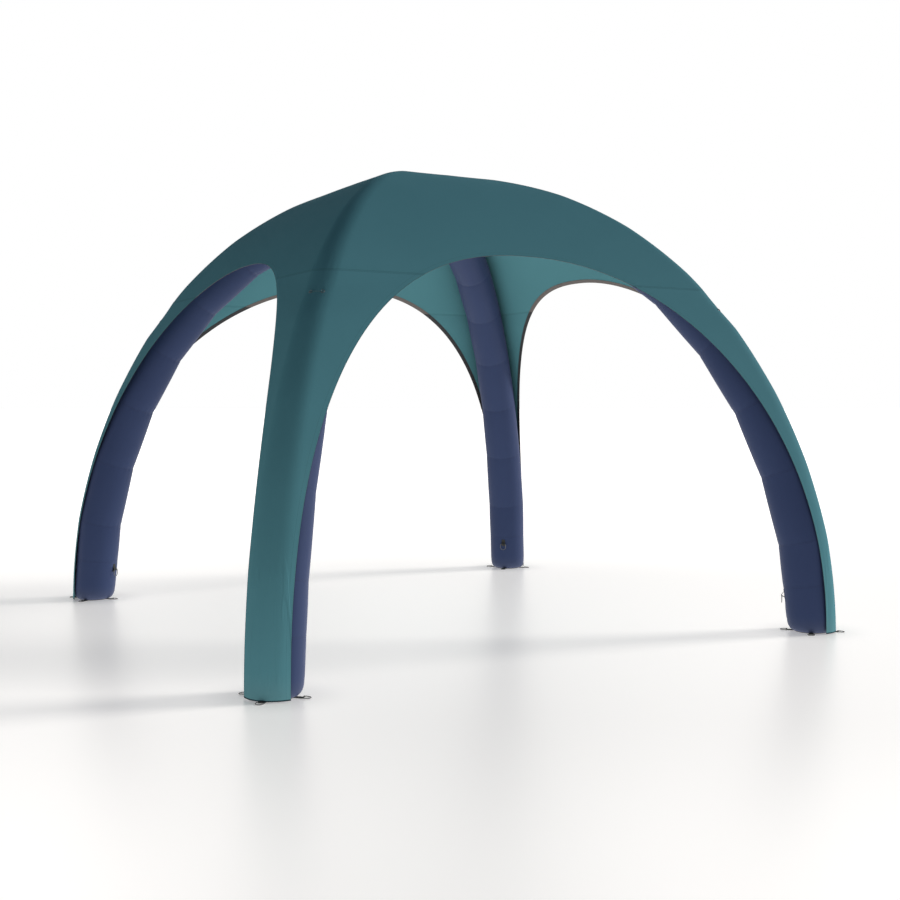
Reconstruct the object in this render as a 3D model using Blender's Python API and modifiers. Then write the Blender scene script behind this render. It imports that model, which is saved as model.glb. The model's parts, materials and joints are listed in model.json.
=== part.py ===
"""Inflatable event tent of 4 by 4 metres: four inflated legs that meet at a crown, under a
fitted canopy.

Metres, +Z up. The origin lies on the ground under the crown. Each leg stands on a corner of the
square footprint and leans in along the diagonal. A leg is drawn in its own coordinates (out,
side, up): out runs along the diagonal from the tent's centre, side runs across it, and up is
the height above the ground. The leg is then turned about the tent's centre to its corner.
"""

import math

import bmesh
import bpy
import numpy as np
from mathutils import Matrix, Vector

# Driving dimensions of the air frame
FOOT_DISTANCE = 2.600
CROWN_HEIGHT = 3.018
LEG_SPREAD_POWER = 0.890
LEG_RISE_POWER = 1.085
TUBE_RADIUS = 0.1405
FOOT_SWELL = 0.005
TUBE_SWELL = 0.0105
SWELL_HEIGHT = 0.600
SWELL_END_HEIGHT = 1.600
TUBE_SIDES = 14
BASE_SEGMENT = 0.580
SEGMENTS_ABOVE_BASE = 8
FOOT_ROUND_INSET = 0.040
FOOT_ROUND_HEIGHT = 0.060
FOOT_ROUND_STEPS = 3
SLEEVE_WALL = 0.002
BLADDER_WALL = 0.0012
BLADDER_CLEARANCE = 0.0005

# Driving dimensions of the canopy
COVER_WALL = 0.003
COVER_CLEARANCE = 0.0045
WRAP_FACETS = 3
PANEL_FACETS = 2
ARCH_HEIGHT = 2.353
ARCH_POWER = 2.2
FLARE_AT_FOOT = 0.0235
SEAM_BELOW_ARCH_TOP = 0.156
SEAM_GAP = 0.0004
HEM_WIDTH = 0.028
HEM_THICKNESS = 0.0015
HEM_GAP = 0.0004
HEM_SHARE_OF_FLARE = 0.85

# Driving dimensions of the feet, webbing and rings
SEAT_GAP = 0.0003
PAD_RADIUS = 0.106
PAD_THICKNESS = 0.003
PAD_SIDES = 20
WEB_THICKNESS = 0.0015
PIN_CLEARANCE = 0.0003
WEB_SIDE_CLEARANCE = 0.0015
GROUND_WEB_WIDTH = 0.030
GROUND_WIRE = 0.005
GROUND_RING_CORNER = 0.005
GROUND_RING_REACH = 0.042
LOOP_OFF_TUBE = 0.0085
LOOP_OFF_COVER = 0.012
INNER_WEB_WIDTH = 0.030
INNER_WIRE = 0.005
INNER_RING_CORNER = 0.007
INNER_RING_REACH = 0.050
INNER_RING_HEIGHT = 0.225
INNER_RING_STANDOFF = 0.017
INNER_PATCH_ABOVE = 0.040
INNER_PATCH_BELOW = 0.018
INNER_PATCH_THICKNESS = 0.002
INNER_WEB_TOP = 0.022
INNER_WEB_BOTTOM = 0.0108
INNER_GAP_FROM_TOP = 0.00375
INNER_GAP_FROM_BOTTOM = 0.0027
INNER_GAP_FROM_LOOP = 0.0003
INNER_GAP_TIP_HEIGHT = 0.00045
UPPER_WEB_WIDTH = 0.010
UPPER_WEB_THICKNESS = 0.001
UPPER_WIRE = 0.0026
UPPER_RING_CORNER = 0.0028
UPPER_RING_REACH = 0.019
UPPER_RING_BELOW_SEAM = 0.127
UPPER_PATCH_GAP = 0.0005
UPPER_LOOP_SPACING = 0.054
UPPER_RING_TILT = math.radians(14.0)
LOOP_STEPS = 6
HOLE_STEPS = 6
RING_ARC_STEPS = 5

# Driving dimensions of the valves, on the inner face of one leg
VALVE_LEG = "front_left"
VALVE_HEIGHT = 0.440
VALVE_FLANGE_RADIUS = 0.024
VALVE_FLANGE_THICKNESS = 0.003
VALVE_NECK_RADIUS = 0.0135
VALVE_COLLAR_RADIUS = 0.0155
VALVE_COLLAR_HEIGHT = 0.011
VALVE_BORE_RADIUS = 0.0105
VALVE_NUT_RADIUS = 0.021
VALVE_NUT_THICKNESS = 0.003
VALVE_STEM_RADIUS = 0.0022
VALVE_HUB_RADIUS = 0.0050
VALVE_HUB_HEIGHT = 0.003
VALVE_SPOKE_WIDTH = 0.0022
VALVE_SPOKES = 3
VALVE_SEAL_RADIUS = 0.0130
VALVE_SEAL_THICKNESS = 0.002
VALVE_BUTTON_RADIUS = 0.0046
VALVE_BUTTON_THICKNESS = 0.002
VALVE_TRAVEL = 0.004
CAP_WALL = 0.0025
CAP_RIB_RADIUS = 0.0014
CAP_RIBS = 8
CAP_RIB_SIDES = 6
TURNED_STEPS = 16
PLUNGER_STEPS = 12
RELIEF_BELOW_VALVE = 0.060
RELIEF_FLANGE_RADIUS = 0.017
RELIEF_NECK_RADIUS = 0.0085
RELIEF_CAP_RADIUS = 0.0125
RELIEF_CAP_FLAT_RADIUS = 0.0075
RELIEF_CAP_UNDERCUT = 0.0031
RELIEF_CAP_HEIGHT = 0.009
RELIEF_CAP_SHOULDER = 0.005
RELIEF_SLOT_HEIGHT = 0.0027
RELIEF_NUT_RADIUS = 0.013

LEG_TURNS = {
    "back_right": math.radians(45.0),
    "back_left": math.radians(135.0),
    "front_left": math.radians(225.0),
    "front_right": math.radians(315.0),
}
ARCH_TURNS = {
    "right": 0.0,
    "back": math.radians(90.0),
    "left": math.radians(180.0),
    "front": math.radians(270.0),
}

# Sizes that follow from the driving dimensions
BASE_HEIGHT = PAD_THICKNESS + SEAT_GAP
COVER_RADIUS = TUBE_RADIUS + COVER_CLEARANCE + COVER_WALL
FACET_HALF_ANGLE = math.pi / TUBE_SIDES
BLADDER_RADIUS = TUBE_RADIUS - (SLEEVE_WALL + BLADDER_CLEARANCE) / math.cos(FACET_HALF_ANGLE)
BLADDER_BASE_HEIGHT = BASE_HEIGHT + SLEEVE_WALL + BLADDER_CLEARANCE
ARCH_HALF_WIDTH = FOOT_DISTANCE / math.sqrt(2.0) - FLARE_AT_FOOT
SEAM_HEIGHT = ARCH_HEIGHT - SEAM_BELOW_ARCH_TOP
UPPER_RING_HEIGHT = SEAM_HEIGHT - UPPER_RING_BELOW_SEAM
MERGE = 0.00005
SAMPLES = 6000

LEG_FILM = (0.045, 0.055, 0.110, 1.0)
CANOPY_TEAL = (0.045, 0.130, 0.150, 1.0)
HEM_BROWN = (0.110, 0.095, 0.090, 1.0)
WEBBING_BLACK = (0.012, 0.013, 0.012, 1.0)
RING_STEEL = (0.160, 0.165, 0.170, 1.0)
BLADDER_CLEAR = (0.420, 0.450, 0.470, 1.0)
VALVE_BLACK = (0.020, 0.021, 0.024, 1.0)


def clear_scene():
    """Remove every object, so that the model starts from nothing."""
    for item in list(bpy.data.objects):
        bpy.data.objects.remove(item, do_unlink=True)


def new_collection(name):
    """Add a collection to the scene and return it."""
    collection = bpy.data.collections.new(name)
    bpy.context.scene.collection.children.link(collection)
    return collection


def new_material(name, colour, roughness, metallic=0.0):
    """Return a Principled material with a plain colour."""
    material = bpy.data.materials.new(name)
    material.use_nodes = True
    shader = material.node_tree.nodes["Principled BSDF"]
    shader.inputs["Base Color"].default_value = colour
    shader.inputs["Roughness"].default_value = roughness
    shader.inputs["Metallic"].default_value = metallic
    return material


clear_scene()
TENT = new_collection("inflatable_tent")
CUTTERS = new_collection("cutters")


def finish(name, data, material, matrix=None, smooth_angle=None):
    """Make an object of a mesh or a curve, in the tent's collection."""
    item = bpy.data.objects.new(name, data)
    TENT.objects.link(item)
    if not data.materials:
        data.materials.append(material)
    if matrix is not None:
        item.matrix_world = matrix
    if smooth_angle is not None:
        data.shade_smooth()
        data.set_sharp_from_angle(angle=math.radians(smooth_angle))
    return item


def as_cutter(item):
    """Move an object to the cutters, where it is a guide and not a piece."""
    for collection in list(item.users_collection):
        collection.objects.unlink(item)
    CUTTERS.objects.link(item)
    item.hide_render = True
    item.display_type = "WIRE"
    return item


def add_boolean(item, other, operation):
    """Cut another object from this one, or join it to this one."""
    modifier = item.modifiers.new(operation.lower(), "BOOLEAN")
    modifier.operation = operation
    modifier.object = other
    modifier.solver = "EXACT"
    return modifier


def add_wall(item, thickness):
    """Give an open surface a wall that grows inwards from it."""
    modifier = item.modifiers.new("wall", "SOLIDIFY")
    modifier.thickness = thickness
    modifier.offset = -1.0
    modifier.use_even_offset = True
    modifier.use_rim = True
    return modifier


def add_mirror(item, along_x, along_y):
    """Mirror an open half or quarter and weld it at the tent's middle planes."""
    modifier = item.modifiers.new("mirror", "MIRROR")
    modifier.use_axis = (along_x, along_y, False)
    modifier.use_mirror_merge = True
    modifier.merge_threshold = MERGE
    return modifier


def mesh_object_from(item):
    """Turn a curve object into a mesh object whose caps are welded, in the same place."""
    bpy.context.view_layer.update()
    evaluated = item.evaluated_get(bpy.context.evaluated_depsgraph_get())
    mesh = bpy.data.meshes.new_from_object(evaluated)
    work = bmesh.new()
    work.from_mesh(mesh)
    bmesh.ops.remove_doubles(work, verts=work.verts, dist=MERGE / 10.0)
    bmesh.ops.recalc_face_normals(work, faces=work.faces)
    work.to_mesh(mesh)
    work.free()
    name = item.name
    matrix = item.matrix_world.copy()
    material = item.data.materials[0]
    bpy.data.objects.remove(item, do_unlink=True)
    mesh.materials.clear()
    return finish(name, mesh, material, matrix)


def axes_matrix(x_axis, y_axis, z_axis, origin):
    """Return the matrix that puts local X, Y and Z along three axes at an origin."""
    rotation = Matrix((x_axis, y_axis, z_axis)).transposed()
    return Matrix.Translation(origin) @ rotation.to_4x4()


def leg_matrix(leg):
    """Turn a leg's own coordinates about the tent's centre to its corner."""
    return Matrix.Rotation(LEG_TURNS[leg], 4, "Z")


# The leg's centre line: a rounded arch in the leg's own (out, up) plane

def sample_centre_line():
    """Return length, position and outward normal along the smooth centre line."""
    turn = np.linspace(0.0, math.pi / 2.0, SAMPLES)
    out = FOOT_DISTANCE * np.maximum(np.cos(turn), 0.0) ** LEG_SPREAD_POWER
    up = (CROWN_HEIGHT - COVER_RADIUS) * np.sin(turn) ** LEG_RISE_POWER
    out[-1] = 0.0
    points = np.stack([out, up], axis=1)
    steps = np.linalg.norm(np.diff(points, axis=0), axis=1)
    length = np.concatenate([[0.0], np.cumsum(steps)])
    slope = np.gradient(points, length, axis=0)
    slope[0] = (0.0, 1.0)
    slope[-1] = (-1.0, 0.0)
    slope /= np.linalg.norm(slope, axis=1)[:, None]
    normal = np.stack([slope[:, 1], -slope[:, 0]], axis=1)
    return length, points, normal


LINE_LENGTH, LINE_POINT, LINE_NORMAL = sample_centre_line()


def station_lengths():
    """Return where along the centre line each straight tube segment starts and ends."""
    above = np.linspace(BASE_SEGMENT, LINE_LENGTH[-1], SEGMENTS_ABOVE_BASE + 1)
    return np.concatenate([[0.0], above])


STATION_LENGTH = station_lengths()
STATION_POINT = np.stack(
    [np.interp(STATION_LENGTH, LINE_LENGTH, LINE_POINT[:, k]) for k in (0, 1)], axis=1)
STATION_NORMAL = np.stack(
    [np.interp(STATION_LENGTH, LINE_LENGTH, LINE_NORMAL[:, k]) for k in (0, 1)], axis=1)
STATION_TANGENT_ANGLE = np.arctan(STATION_NORMAL[:, 0])


def swell_at_height(height):
    """Return how much wider the tube is at a height than in its upper part."""
    return np.interp(height, [0.0, SWELL_HEIGHT, SWELL_END_HEIGHT], [FOOT_SWELL, TUBE_SWELL, 0.0])


LINE_SWELL = swell_at_height(LINE_POINT[:, 1])
STATION_SWELL = swell_at_height(STATION_POINT[:, 1])
LAST = len(STATION_LENGTH) - 1
FOOT_LEAN = math.atan2(STATION_POINT[0][0] - STATION_POINT[1][0], STATION_POINT[1][1])
COVER_BASE_HEIGHT = BASE_HEIGHT + COVER_WALL * math.sin(FOOT_LEAN)


def between(values, place):
    """Read a list of station values at a place between two stations."""
    low = min(int(place), LAST - 1)
    share = place - low
    return values[low] * (1.0 - share) + values[low + 1] * share


def place_at_height(heights, height):
    """Return the place between stations where a rising list of heights passes a height."""
    return float(np.interp(height, heights, np.arange(len(heights))))


# The tube: rings of the inflated leg, from its flat foot to the mitre at the crown

def tube_ring(centre, normal, radius):
    """Return one ring of the tube about a centre, square to the leg."""
    ring = []
    for k in range(TUBE_SIDES):
        angle = (2 * k + 1) * FACET_HALF_ANGLE
        reach = radius * math.cos(angle)
        side = radius * math.sin(angle)
        ring.append(np.array([centre[0] + reach * normal[0], side, centre[1] + reach * normal[1]]))
    return ring


def foot_rings(radius, base_height):
    """Return the rings of the rounded lower end, from the flat bottom up."""
    rings = []
    for k in range(FOOT_ROUND_STEPS + 1):
        turn = 0.5 * math.pi * k / FOOT_ROUND_STEPS
        rise = FOOT_ROUND_HEIGHT * (1.0 - math.cos(turn))
        inset = FOOT_ROUND_INSET * (1.0 - math.sin(turn))
        height = base_height + rise
        place = place_at_height(STATION_POINT[:, 1], height)
        centre = (between(STATION_POINT, place)[0], height)
        swell = between(STATION_SWELL, place)
        rings.append(tube_ring(centre, (1.0, 0.0), radius + swell - inset))
    return rings


def crown_points(last_ring, middle_gap):
    """Run the last ring on to the mitre planes, where the four legs meet."""
    along = STATION_POINT[LAST] - STATION_POINT[LAST - 1]
    along = along / np.linalg.norm(along)
    direction = np.array([along[0], 0.0, along[1]])

    def on_mitre(point):
        target = abs(point[1]) + math.sqrt(2.0) * middle_gap
        return point + direction * ((target - point[0]) / direction[0])

    ring = [on_mitre(point) for point in last_ring]
    half = TUBE_SIDES // 2
    outer_tip = on_mitre(0.5 * (last_ring[-1] + last_ring[0]))
    inner_tip = on_mitre(0.5 * (last_ring[half - 1] + last_ring[half]))
    return ring, outer_tip, inner_tip


def tube_mesh(name, radius, base_height, middle_gap):
    """Loft the tube's skin, closed at the foot and open at the crown."""
    rings = foot_rings(radius, base_height)
    for station in range(1, LAST):
        rings.append(tube_ring(STATION_POINT[station], STATION_NORMAL[station],
                               radius + STATION_SWELL[station]))
    mitre, outer_tip, inner_tip = crown_points(rings[-1], middle_gap)
    rings.append(mitre)
    work = bmesh.new()
    grid = [[work.verts.new(point) for point in ring] for ring in rings]
    tips = {TUBE_SIDES - 1: outer_tip, TUBE_SIDES // 2 - 1: inner_tip}
    work.faces.new(list(reversed(grid[0])))
    for level, (low, high) in enumerate(zip(grid, grid[1:])):
        for k in range(TUBE_SIDES):
            after = (k + 1) % TUBE_SIDES
            corners = [low[k], low[after], high[after]]
            if level == len(grid) - 2 and k in tips:
                corners.append(work.verts.new(tips[k]))
            corners.append(high[k])
            work.faces.new(corners)
    bmesh.ops.recalc_face_normals(work, faces=work.faces)
    mesh = bpy.data.meshes.new(name)
    work.to_mesh(mesh)
    work.free()
    return mesh


def inner_face_frame(height):
    """Return origin, outward normal and upward direction on a leg's inner face.

    The inner face is the flat facet of the tube's lowest long segment that looks at the
    tent's middle.
    """
    low_height = BASE_HEIGHT + FOOT_ROUND_HEIGHT
    low_place = place_at_height(STATION_POINT[:, 1], low_height)
    low_flat = (TUBE_RADIUS + between(STATION_SWELL, low_place)) * math.cos(FACET_HALF_ANGLE)
    high_flat = (TUBE_RADIUS + STATION_SWELL[1]) * math.cos(FACET_HALF_ANGLE)
    low = np.array([between(STATION_POINT, low_place)[0] - low_flat, low_height])
    high = STATION_POINT[1] - high_flat * STATION_NORMAL[1]
    share = (height - low[1]) / (high[1] - low[1])
    origin = low + share * (high - low)
    up = (high - low) / np.linalg.norm(high - low)
    origin_vector = Vector((origin[0], 0.0, origin[1]))
    up_vector = Vector((up[0], 0.0, up[1]))
    normal_vector = Vector((-up[1], 0.0, up[0]))
    return origin_vector, normal_vector, up_vector


# The canopy: it wraps the outer side of each leg and runs on, level, to the next leg

def wrap_column(station, column):
    """Return a canopy point on the leg's own round, at a station and a wrap column."""
    angle = STATION_TANGENT_ANGLE[station] * column / WRAP_FACETS
    radius = COVER_RADIUS + STATION_SWELL[station]
    reach = radius * math.cos(angle)
    centre = STATION_POINT[station]
    normal = STATION_NORMAL[station]
    return np.array([centre[0] + reach * normal[0], radius * math.sin(angle),
                     centre[1] + reach * normal[1]])


def wrap_line(column):
    """Return one wrap column's points at every station, from the foot to the crown."""
    return np.array([wrap_column(station, column) for station in range(LAST + 1)])


def sample_panel():
    """Return the smooth profile of a panel: length, face distance, height and normal."""
    angle = np.arctan(LINE_NORMAL[:, 0])
    radius = COVER_RADIUS + LINE_SWELL
    reach = radius * np.cos(angle)
    out = LINE_POINT[:, 0] + reach * LINE_NORMAL[:, 0]
    side = radius * np.sin(angle)
    face = (out + side) / math.sqrt(2.0)
    height = LINE_POINT[:, 1] + reach * LINE_NORMAL[:, 1]
    steps = np.hypot(np.diff(face), np.diff(height))
    length = np.concatenate([[0.0], np.cumsum(steps)])
    normal_face = math.sqrt(2.0) * np.sin(angle)
    normal_up = np.cos(angle) * LINE_NORMAL[:, 1]
    return length, face, height, normal_face, normal_up


PANEL_LENGTH, PANEL_FACE, PANEL_HEIGHT, PANEL_NORMAL_FACE, PANEL_NORMAL_UP = sample_panel()
TANGENT_LENGTH = np.interp(STATION_LENGTH, LINE_LENGTH, PANEL_LENGTH)
TANGENT_LINE = wrap_line(WRAP_FACETS)


def panel_point(across, along, shift, depth=0.0):
    """Return the canopy point at a distance from the panel's middle and a profile length."""
    face = np.interp(along, PANEL_LENGTH, PANEL_FACE) + shift[0]
    height = np.interp(along, PANEL_LENGTH, PANEL_HEIGHT) + shift[1]
    face -= depth * np.interp(along, PANEL_LENGTH, PANEL_NORMAL_FACE)
    height -= depth * np.interp(along, PANEL_LENGTH, PANEL_NORMAL_UP)
    return np.array([(face + across) / math.sqrt(2.0), (face - across) / math.sqrt(2.0), height])


def along_at_height(height):
    """Return the profile length at which a panel reaches a height."""
    return float(np.interp(height, PANEL_HEIGHT, PANEL_LENGTH))


def arch_point(turn):
    """Return the free edge of a panel, as distance from its middle and profile length."""
    power = 2.0 / ARCH_POWER
    across = ARCH_HALF_WIDTH * max(math.cos(turn), 0.0) ** power
    height = ARCH_HEIGHT * math.sin(turn) ** power
    return np.array([across, along_at_height(height)])


def arch_turn_at_height(height):
    """Return the turn at which the free edge reaches a height."""
    return math.asin((height / ARCH_HEIGHT) ** (ARCH_POWER / 2.0))


def hem_point(turn, width):
    """Return the hem's inner edge, square to the free edge."""
    step = 0.002
    low = max(turn - step, 1e-6)
    high = min(turn + step, math.pi / 2.0)
    direction = arch_point(high) - arch_point(low)
    direction /= np.linalg.norm(direction)
    inner = arch_point(turn) + width * np.array([direction[1], -direction[0]])
    if turn >= math.pi / 2.0 - step:
        inner[0] = 0.0
    return inner


def level_row(height):
    """Return a level row of the canopy below the arch: its wrap, hem and free edge."""
    wrap = []
    for column in range(WRAP_FACETS + 1):
        line = wrap_line(column)
        wrap.append(between(line, place_at_height(line[:, 2], height)))
    return canopy_row(wrap, along_at_height(height), arch_turn_at_height(height))


def canopy_row(wrap, along, arch_turn=None, middle_along=None):
    """Describe a canopy row: wrap points, panel start, and its end on the arch or middle."""
    tangent = wrap[-1]
    across = (tangent[0] - tangent[1]) / math.sqrt(2.0)
    face = (tangent[0] + tangent[1]) / math.sqrt(2.0)
    shift = np.array([face - np.interp(along, PANEL_LENGTH, PANEL_FACE),
                      tangent[2] - np.interp(along, PANEL_LENGTH, PANEL_HEIGHT)])
    row = {"wrap": wrap, "start": np.array([across, along]), "shift": shift}
    if arch_turn is None:
        row["hem"] = np.array([0.0, middle_along])
        row["edge"] = None
        return row
    edge = arch_point(arch_turn)
    flare = across - edge[0]
    width = HEM_WIDTH
    if edge[0] > 0.5 * ARCH_HALF_WIDTH:
        width = min(HEM_WIDTH, HEM_SHARE_OF_FLARE * flare)
    row["edge"] = edge
    row["hem"] = hem_point(arch_turn, width)
    return row


def panel_steps(row, count, depth=0.0):
    """Return a row's panel points between the wrap and the hem's inner edge."""
    points = []
    for k in range(1, count + 1):
        share = k / count
        across, along = row["start"] * (1.0 - share) + row["hem"] * share
        points.append(panel_point(across, along, row["shift"] * (1.0 - share), depth))
    return points


def hem_strip(row, depth=0.0):
    """Return the two points of a row's hem: its inner edge and the free edge."""
    still = np.zeros(2)
    inner = panel_point(row["hem"][0], row["hem"][1], still, depth)
    edge = panel_point(row["edge"][0], row["edge"][1], still, depth)
    return [inner, edge]


def places_between(low, high, halves):
    """Return a start, every station above it and the middles between, up to an end."""
    stations = [low] + [float(k) for k in range(int(low) + 1, LAST + 1) if k < high] + [high]
    places = []
    for first, second in zip(stations, stations[1:]):
        places.append(first)
        if halves:
            places.append(0.5 * (first + second))
    return places + [high]


def cover_rows():
    """Return the leg cover's rows, from the ground to the cross seam."""
    top = SEAM_HEIGHT - 0.5 * SEAM_GAP
    low = place_at_height(TANGENT_LINE[:, 2], COVER_BASE_HEIGHT)
    high = place_at_height(TANGENT_LINE[:, 2], top)
    rows = []
    for place in places_between(low, high, False):
        rows.append(between(TANGENT_LINE, place)[2])
        if LAST // 3 <= place < high:
            after = min(math.floor(place) + 1.0, high)
            rows.append(between(TANGENT_LINE, 0.5 * (place + after))[2])
    heights = [COVER_BASE_HEIGHT] + rows[1:-1] + [top]
    result = []
    for height in heights:
        on_station = [k for k in range(1, LAST) if abs(TANGENT_LINE[k][2] - height) < 1e-9]
        if on_station:
            station = on_station[0]
            wrap = [wrap_column(station, column) for column in range(WRAP_FACETS + 1)]
            result.append(canopy_row(wrap, along_at_height(height),
                                     arch_turn_at_height(height)))
        elif height in (COVER_BASE_HEIGHT, top):
            result.append(level_row(height))
        else:
            place = place_at_height(TANGENT_LINE[:, 2], height)
            wrap = [between(wrap_line(column), place) for column in range(WRAP_FACETS + 1)]
            result.append(canopy_row(wrap, along_at_height(height),
                                     arch_turn_at_height(height)))
    return result


def roof_rows():
    """Return the roof's rows, from the cross seam to the crown."""
    bottom = SEAM_HEIGHT + 0.5 * SEAM_GAP
    low = place_at_height(TANGENT_LINE[:, 2], bottom)
    places = places_between(low, float(LAST), True)
    arch_rows = (len(places) - 1) // 2
    first_turn = arch_turn_at_height(bottom)
    rows = [level_row(bottom)]
    crown_along = hem_point(math.pi / 2.0, HEM_WIDTH)[1]
    for k, place in enumerate(places[1:], start=1):
        wrap = [between(wrap_line(column), place) for column in range(WRAP_FACETS + 1)]
        along = between(TANGENT_LENGTH, place)
        if k <= arch_rows:
            turn = first_turn + (math.pi / 2.0 - first_turn) * k / arch_rows
            rows.append(canopy_row(wrap, along, arch_turn=turn))
            continue
        share = (k - arch_rows) / (len(places) - 1 - arch_rows)
        middle = crown_along + share * (PANEL_LENGTH[-1] - crown_along)
        rows.append(canopy_row(wrap, along, middle_along=middle))
    return rows


def on_side(point, side):
    """Return a point on one side of a leg's middle plane."""
    return np.array([point[0], side * point[1], point[2]])


def add_grid(work, rows):
    """Add a grid of faces between rows of points."""
    grid = [[work.verts.new(point) for point in row] for row in rows]
    for low, high in zip(grid, grid[1:]):
        for k in range(len(low) - 1):
            work.faces.new([low[k], low[k + 1], high[k + 1], high[k]])


def surface_mesh(name, grids, turn=0.0):
    """Weld grids of points into one open surface whose faces look outwards and up."""
    work = bmesh.new()
    for rows in grids:
        add_grid(work, rows)
    bmesh.ops.remove_doubles(work, verts=work.verts, dist=MERGE)
    flat = [face for face in work.faces if face.calc_area() < 1e-10]
    bmesh.ops.delete(work, geom=flat, context="FACES")
    bmesh.ops.recalc_face_normals(work, faces=work.faces)
    outwards = 0.0
    for face in work.faces:
        middle = face.calc_center_median()
        outwards += face.calc_area() * face.normal.dot(middle.normalized())
    if outwards < 0.0:
        bmesh.ops.reverse_faces(work, faces=work.faces)
    bmesh.ops.rotate(work, verts=work.verts, cent=(0.0, 0.0, 0.0),
                     matrix=Matrix.Rotation(turn, 3, "Z"))
    for vertex in work.verts:
        for axis in (0, 1):
            if abs(vertex.co[axis]) < 1e-6:
                vertex.co[axis] = 0.0
    mesh = bpy.data.meshes.new(name)
    work.to_mesh(mesh)
    work.free()
    return mesh


def canopy_grids(rows, panel_facets):
    """Return the grids of a piece of canopy: wrap and panels, and the two hem strips."""
    main = []
    strips = {1.0: [], -1.0: []}
    for row in rows:
        half = list(row["wrap"]) + panel_steps(row, panel_facets)
        left = [on_side(point, -1.0) for point in reversed(half[1:])]
        main.append(left + half)
        if row["edge"] is not None:
            for side, strip in strips.items():
                strip.append([on_side(point, side) for point in hem_strip(row)])
    return [main, strips[1.0], strips[-1.0]]


# Webbing loops and wire rings

def ring_half_width(web_width, corner):
    """Return half of a ring's width at the middle of its wire."""
    return 0.5 * web_width + WEB_SIDE_CLEARANCE * min(1.0, web_width / GROUND_WEB_WIDTH) + corner


def ring_curve(name, wire, web_width, corner, reach, material):
    """Return a D ring's curve: its straight bar on local Y, its bow towards local +X."""
    half = ring_half_width(web_width, corner)
    centre = reach - 0.5 * wire - half
    points = [(0.0, -(half - corner)), (0.0, half - corner), (corner, half)]
    for k in range(RING_ARC_STEPS + 1):
        turn = 0.5 * math.pi - math.pi * k / RING_ARC_STEPS
        points.append((centre + half * math.cos(turn), half * math.sin(turn)))
    points.append((corner, -half))
    curve = bpy.data.curves.new(name, "CURVE")
    curve.dimensions = "3D"
    curve.bevel_depth = 0.5 * wire
    curve.bevel_resolution = 1
    spline = curve.splines.new("POLY")
    spline.points.add(len(points) - 1)
    for target, (x, y) in zip(spline.points, points):
        target.co = (x, y, 0.0, 1.0)
    spline.use_cyclic_u = True
    curve.materials.append(material)
    return curve


def loop_radius(wire, web_thickness):
    """Return the outer radius of webbing that runs round a ring's bar."""
    return 0.5 * wire + PIN_CLEARANCE + web_thickness


def bar_hole(centre, wire):
    """Return the outline of the hole in a webbing loop, which clears the bar all round."""
    radius = (0.5 * wire + PIN_CLEARANCE) / math.cos(math.pi / HOLE_STEPS)
    return arc_points(centre, radius, 0.0, 2.0 * math.pi, HOLE_STEPS)[:-1]


def arc_points(centre, radius, start, end, steps):
    """Return points on an arc, its ends included."""
    points = []
    for k in range(steps + 1):
        turn = start + (end - start) * k / steps
        points.append((centre[0] + radius * math.cos(turn), centre[1] + radius * math.sin(turn)))
    return points


def flat_piece(name, outlines, width, material, matrix):
    """Extrude a filled outline with holes to both sides of local Z = 0."""
    curve = bpy.data.curves.new(name, "CURVE")
    curve.dimensions = "2D"
    curve.fill_mode = "BOTH"
    curve.extrude = 0.5 * width
    for outline in outlines:
        spline = curve.splines.new("POLY")
        spline.points.add(len(outline) - 1)
        for target, (x, y) in zip(spline.points, outline):
            target.co = (x, y, 0.0, 1.0)
        spline.use_cyclic_u = True
    curve.materials.append(material)
    return finish(name, curve, material, matrix)


def tangent_on_circle(point, centre, radius, side):
    """Return the angle at which a line from a point touches a circle."""
    offset = (point[0] - centre[0], point[1] - centre[1])
    distance = math.hypot(*offset)
    return math.atan2(offset[1], offset[0]) + side * math.acos(radius / distance)


# Materials
TUBE_FABRIC = new_material("tube_fabric", LEG_FILM, 0.62)
CANOPY_FABRIC = new_material("canopy_fabric", CANOPY_TEAL, 0.70)
HEM_TAPE = new_material("hem_tape", HEM_BROWN, 0.80)
WEBBING = new_material("webbing", WEBBING_BLACK, 0.85)
STEEL = new_material("ring_steel", RING_STEEL, 0.35, 1.0)
BLADDER_FILM = new_material("bladder_film", BLADDER_CLEAR, 0.40)
VALVE_PLASTIC = new_material("valve_plastic", VALVE_BLACK, 0.45)


# Valves

def turned_piece(name, profile, material, matrix, steps=TURNED_STEPS):
    """Turn a closed profile of (radius, height) points about local Z."""
    work = bmesh.new()
    vertices = [work.verts.new((radius, 0.0, height)) for radius, height in profile]
    for first, second in zip(vertices, vertices[1:] + vertices[:1]):
        work.edges.new((first, second))
    if profile[0][0] == 0.0 and profile[-1][0] == 0.0:
        work.edges.remove(work.edges.get((vertices[-1], vertices[0])))
    mesh = bpy.data.meshes.new(name)
    work.to_mesh(mesh)
    work.free()
    item = finish(name, mesh, material, matrix)
    screw = item.modifiers.new("turn", "SCREW")
    screw.angle = 2.0 * math.pi
    screw.steps = steps
    screw.render_steps = steps
    screw.use_merge_vertices = True
    screw.merge_threshold = MERGE / 2.0
    return item


def round_bar(name, radius, low, high, matrix, steps=TURNED_STEPS):
    """Return a plain cylinder along local Z, kept as a cutter."""
    work = bmesh.new()
    bmesh.ops.create_cone(work, cap_ends=True, segments=steps, radius1=radius, radius2=radius,
                          depth=high - low)
    bmesh.ops.translate(work, verts=work.verts, vec=(0.0, 0.0, 0.5 * (low + high)))
    mesh = bpy.data.meshes.new(name)
    work.to_mesh(mesh)
    work.free()
    return as_cutter(finish(name, mesh, VALVE_PLASTIC, matrix))


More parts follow.
